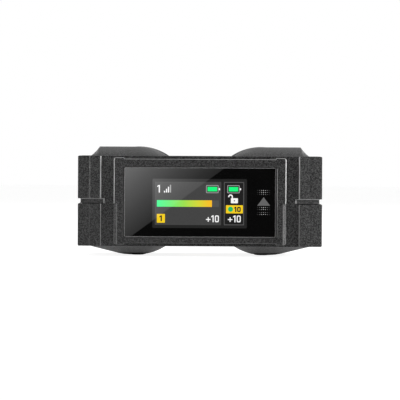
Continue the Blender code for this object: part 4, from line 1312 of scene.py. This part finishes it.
# Feet, crowned to follow the round lobes that carry them
PAD_DEPTH = 32.0
PAD_RUN = 10.0
PAD_CORNER = 0.4
PAD_GROOVES = 9
GROOVE_PITCH = 2.4
GROOVE_LEVELS = [(1.5, 0.25, 0.24, -12.58), (1.6, 0.40, 0.38, -12.80)]
PAD_CROWN = [
    (2.0, -12.25), (2.0, -12.42), (1.8, -12.56), (1.5, -12.66), (1.1, -12.72),
    (0.7, -12.75),
]
for side, middle in CAP_X.items():
    levels = []
    for half, height in PAD_CROWN:
        reach = half + PAD_RUN
        levels.append((box_outline(-half, -reach, half, reach, PAD_CORNER * half), height))
    pad = lofted(
        "foot_pad_" + side + "_ribbed",
        levels,
        along_height,
        (middle, PAD_DEPTH),
        ("rubber", "foot_pad_" + side, "black_rubber"),
    )
    for number in range(PAD_GROOVES):
        offset = (number - (PAD_GROOVES - 1) / 2) * GROOVE_PITCH
        groove = []
        for half, reach, radius, height in GROOVE_LEVELS:
            outline = box_outline(-half, offset - reach, half, offset + reach, radius)
            groove.append((outline, height))
        cut(pad, groove, along_height, (middle, PAD_DEPTH))
    shade_flats(pad)


# Nodes that keep their solids, and get their finish only
KEPT = {
    "glass_gasket": "rubber",
    "display_panel": "black",
    "touch_key_guide": "clear",
    "display_flex": "flex",
    "main_board": "board",
    "rf_shield": "steel",
    "key_board": "board",
    "power_switch": "steel",
    "link_switch": "steel",
}
KEPT_PAIRS = {
    "antenna": "gold",
    "battery_tube": "black",
    "contact_disc": "gold",
    "contact_spring": "steel",
    "battery_cell": "wrap",
    "cap_contact": "gold",
    "cap_seal": "rubber",
}
for name, finish in KEPT_PAIRS.items():
    for side in CAP_X:
        KEPT[name + "_" + side] = finish
for node, finish in KEPT.items():
    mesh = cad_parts[node].data
    mesh.materials.clear()
    mesh.materials.append(LOOKS[finish])


# Studio
def lamp(name, spot, aim, size, radiance):
    """A soft rectangular lamp at a spot, facing its aim, both in metres."""
    data = bpy.data.lights.new(name, "AREA")
    data.shape = "RECTANGLE"
    data.size, data.size_y = size
    data.energy = radiance * math.pi * size[0] * size[1]
    obj = in_scene(name, data)
    obj.location = spot
    facing = Vector(aim) - Vector(spot)
    obj.rotation_euler = facing.to_track_quat("-Z", "Y").to_euler()
    obj.visible_camera = False


AIM = (0.0, 0.0, AXIS_Z * MM)
lamp("top_lamp", (0.0, -0.35, 0.75), AIM, (0.9, 0.6), 0.4)
lamp("near_lamp", (-0.045, -0.130, 0.022), (-0.015, -0.028, 0.013), (0.04, 0.04), 4.2)
lamp("left_lamp", (-0.75, 0.03, 0.12), AIM, (0.5, 0.4), 6.0)
lamp("right_lamp", (0.75, -0.03, 0.12), AIM, (0.5, 0.4), 12.0)
lamp("side_lamp", (0.14, -0.03, 0.03), (0.02, -0.02, 0.013), (0.05, 0.05), 18.0)
lamp("rear_left_lamp", (-0.60, 0.75, 0.35), AIM, (0.5, 0.5), 5.0)
lamp("rear_right_lamp", (0.60, 0.75, 0.35), AIM, (0.5, 0.5), 5.0)


def white_to_sight(tree, dim, bright):
    """A strength that is bright to what the camera, gloss and glass see, and dim as light."""
    rays = add(tree, "ShaderNodeLightPath").outputs
    total = rays["Is Camera Ray"]
    for kind in ("Is Glossy Ray", "Is Transmission Ray"):
        total = maths(tree, "MAXIMUM", total, rays[kind])
    return spread(tree, total, dim, bright, 0.0, 1.0)


SKY_LIGHT = 0.15
FLOOR_WHITE = 0.88
FLOOR_HALF = 2.5
CORNERS = ((-1, -1), (1, -1), (1, 1), (-1, 1))

world = bpy.data.worlds.new("studio")
bpy.context.scene.world = world
world.use_nodes = True
sky = world.node_tree
backdrop = sky.nodes["Background"].inputs
connect(grey(1.0), backdrop["Color"])
connect(white_to_sight(sky, SKY_LIGHT, 1.0), backdrop["Strength"])


def stage_sheet(name, points, material):
    """A flat sheet of the studio, which is not part of the object."""
    mesh = new_mesh(name, points, [tuple(range(len(points)))])
    mesh.materials.append(material)
    obj = in_scene(name, mesh)
    return obj


paper, tree, shader, coords = new_material("pale_floor")
fibres = noise(tree, coords, 60.0, 3.0)
set_shader(
    shader,
    colour=ramp(tree, fibres, [(0.3, grey(0.30)), (0.7, grey(0.32))]),
    rough=0.9,
    shine=0.1,
    glow=grey(1.0),
    power=white_to_sight(tree, 0.0, FLOOR_WHITE),
)
stage_sheet("floor", [(x * FLOOR_HALF, y * FLOOR_HALF, 0.0) for x, y in CORNERS], paper)

# Camera
SENSOR = 36.0
PHOTO_WIDTH = 400
CAMERA_PIXEL = 0.2306
CAMERA_AIM = (0.01, FRONT_Y, 13.06)
CAMERA_AWAY = 1.4
CAMERA_RISE = math.radians(0.5)
CAMERA_ROLL = math.radians(0.3)
target = Vector([value * MM for value in CAMERA_AIM])
camera_data = bpy.data.cameras.new("camera")
camera_data.sensor_width = SENSOR
camera_data.lens = SENSOR * CAMERA_AWAY / (PHOTO_WIDTH * CAMERA_PIXEL * MM)
camera_data.clip_start = 0.01
camera_data.clip_end = 20.0
camera = in_scene("camera", camera_data)
away = Vector((0.0, -math.cos(CAMERA_RISE), math.sin(CAMERA_RISE))) * CAMERA_AWAY
turn = Matrix.Rotation(math.radians(90) - CAMERA_RISE, 4, "X")
turn = turn @ Matrix.Rotation(CAMERA_ROLL, 4, "Z")
camera.matrix_world = Matrix.Translation(target + away) @ turn
bpy.context.scene.camera = camera
bpy.context.scene.view_settings.view_transform = "Standard"

# Cards in front of the unit, which only gloss sees: a dark one, and a lit one for the glass
CARD_Y = -0.25
CARD_SPREAD = (-CARD_Y + FRONT_Y * MM) / CAMERA_AWAY
DARK_CARD_Y = CARD_Y - 0.002
DARK_CARD = [(-0.16, 0.0005), (0.16, 0.0005), (0.16, 0.16), (-0.16, 0.16)]
LIT_CARD = [(100.0, 259.5), (260.0, 141.9), (60.0, 141.9), (60.0, 259.5)]

# The lit card's glow falls by even steps of screen tone, from a pixel, across and down
GLARE_START = (126.0, 170.0)
GLARE_SLOPE = (0.75, 0.85)
GLARE_RUN = (-40.0, 110.0)
GLARE_TONES = (147, 12, -20)
GLASS_MIRRORS = 0.042
FAR_STEPS = 100


def on_card(column, row):
    """The place on the cards that the glass shows at a pixel of the photograph."""
    x, height = seen(column, row)
    eye = camera.matrix_world.translation
    z = (AXIS_Z + height) * MM
    across = x * MM + (x * MM - eye.x) * CARD_SPREAD
    return Vector((across, CARD_Y, z + (z - eye.z) * CARD_SPREAD))


def card_material(name):
    material = bpy.data.materials.new(name)
    material.use_nodes = True
    tree = material.node_tree
    tree.nodes.remove(tree.nodes["Principled BSDF"])
    coords = add(tree, "ShaderNodeTexCoord").outputs["Object"]
    glow = add(tree, "ShaderNodeEmission")
    tree.links.new(glow.outputs[0], tree.nodes["Material Output"].inputs["Surface"])
    return material, tree, glow, coords


def only_in_gloss(obj):
    obj.visible_camera = False
    obj.visible_diffuse = False
    obj.visible_shadow = False


felt, tree, glow, coords = card_material("dark_card")
weave = noise(tree, coords, 30.0)
tones = ramp(tree, weave, [(0.3, grey(0.020)), (0.7, grey(0.030))])
connect(tones, glow.inputs["Color"])
only_in_gloss(stage_sheet("dark_card", [(x, DARK_CARD_Y, z) for x, z in DARK_CARD], felt))

glare, tree, glow, coords = card_material("lit_card")
column, row = GLARE_START
bright = on_card(column, row)
far = on_card(column + FAR_STEPS, row + FAR_STEPS)
columns = spread(tree, coordinate(tree, coords, "X"), 0.0, FAR_STEPS, bright.x, far.x)
rows = spread(tree, coordinate(tree, coords, "Z"), 0.0, FAR_STEPS, bright.z, far.z)
for socket in (columns, rows):
    socket.node.clamp = False
fall = maths(tree, "MULTIPLY", columns, GLARE_SLOPE[0])
fall = maths(tree, "MULTIPLY_ADD", rows, GLARE_SLOPE[1], fall)
share = spread(tree, fall, 0.0, 1.0, *GLARE_RUN)
top_tone, low_tone, tone_step = GLARE_TONES
stops = []
for level in (*range(top_tone, low_tone, tone_step), low_tone):
    position = (top_tone - level) / (GLARE_RUN[1] - GLARE_RUN[0])
    stops.append((position, grey(((level / 255 + 0.055) / 1.055) ** 2.4)))
connect(ramp(tree, share, stops), glow.inputs["Color"])
connect(1.0 / GLASS_MIRRORS, glow.inputs["Strength"])
only_in_gloss(stage_sheet("lit_card", [on_card(*corner) for corner in LIT_CARD], glare))
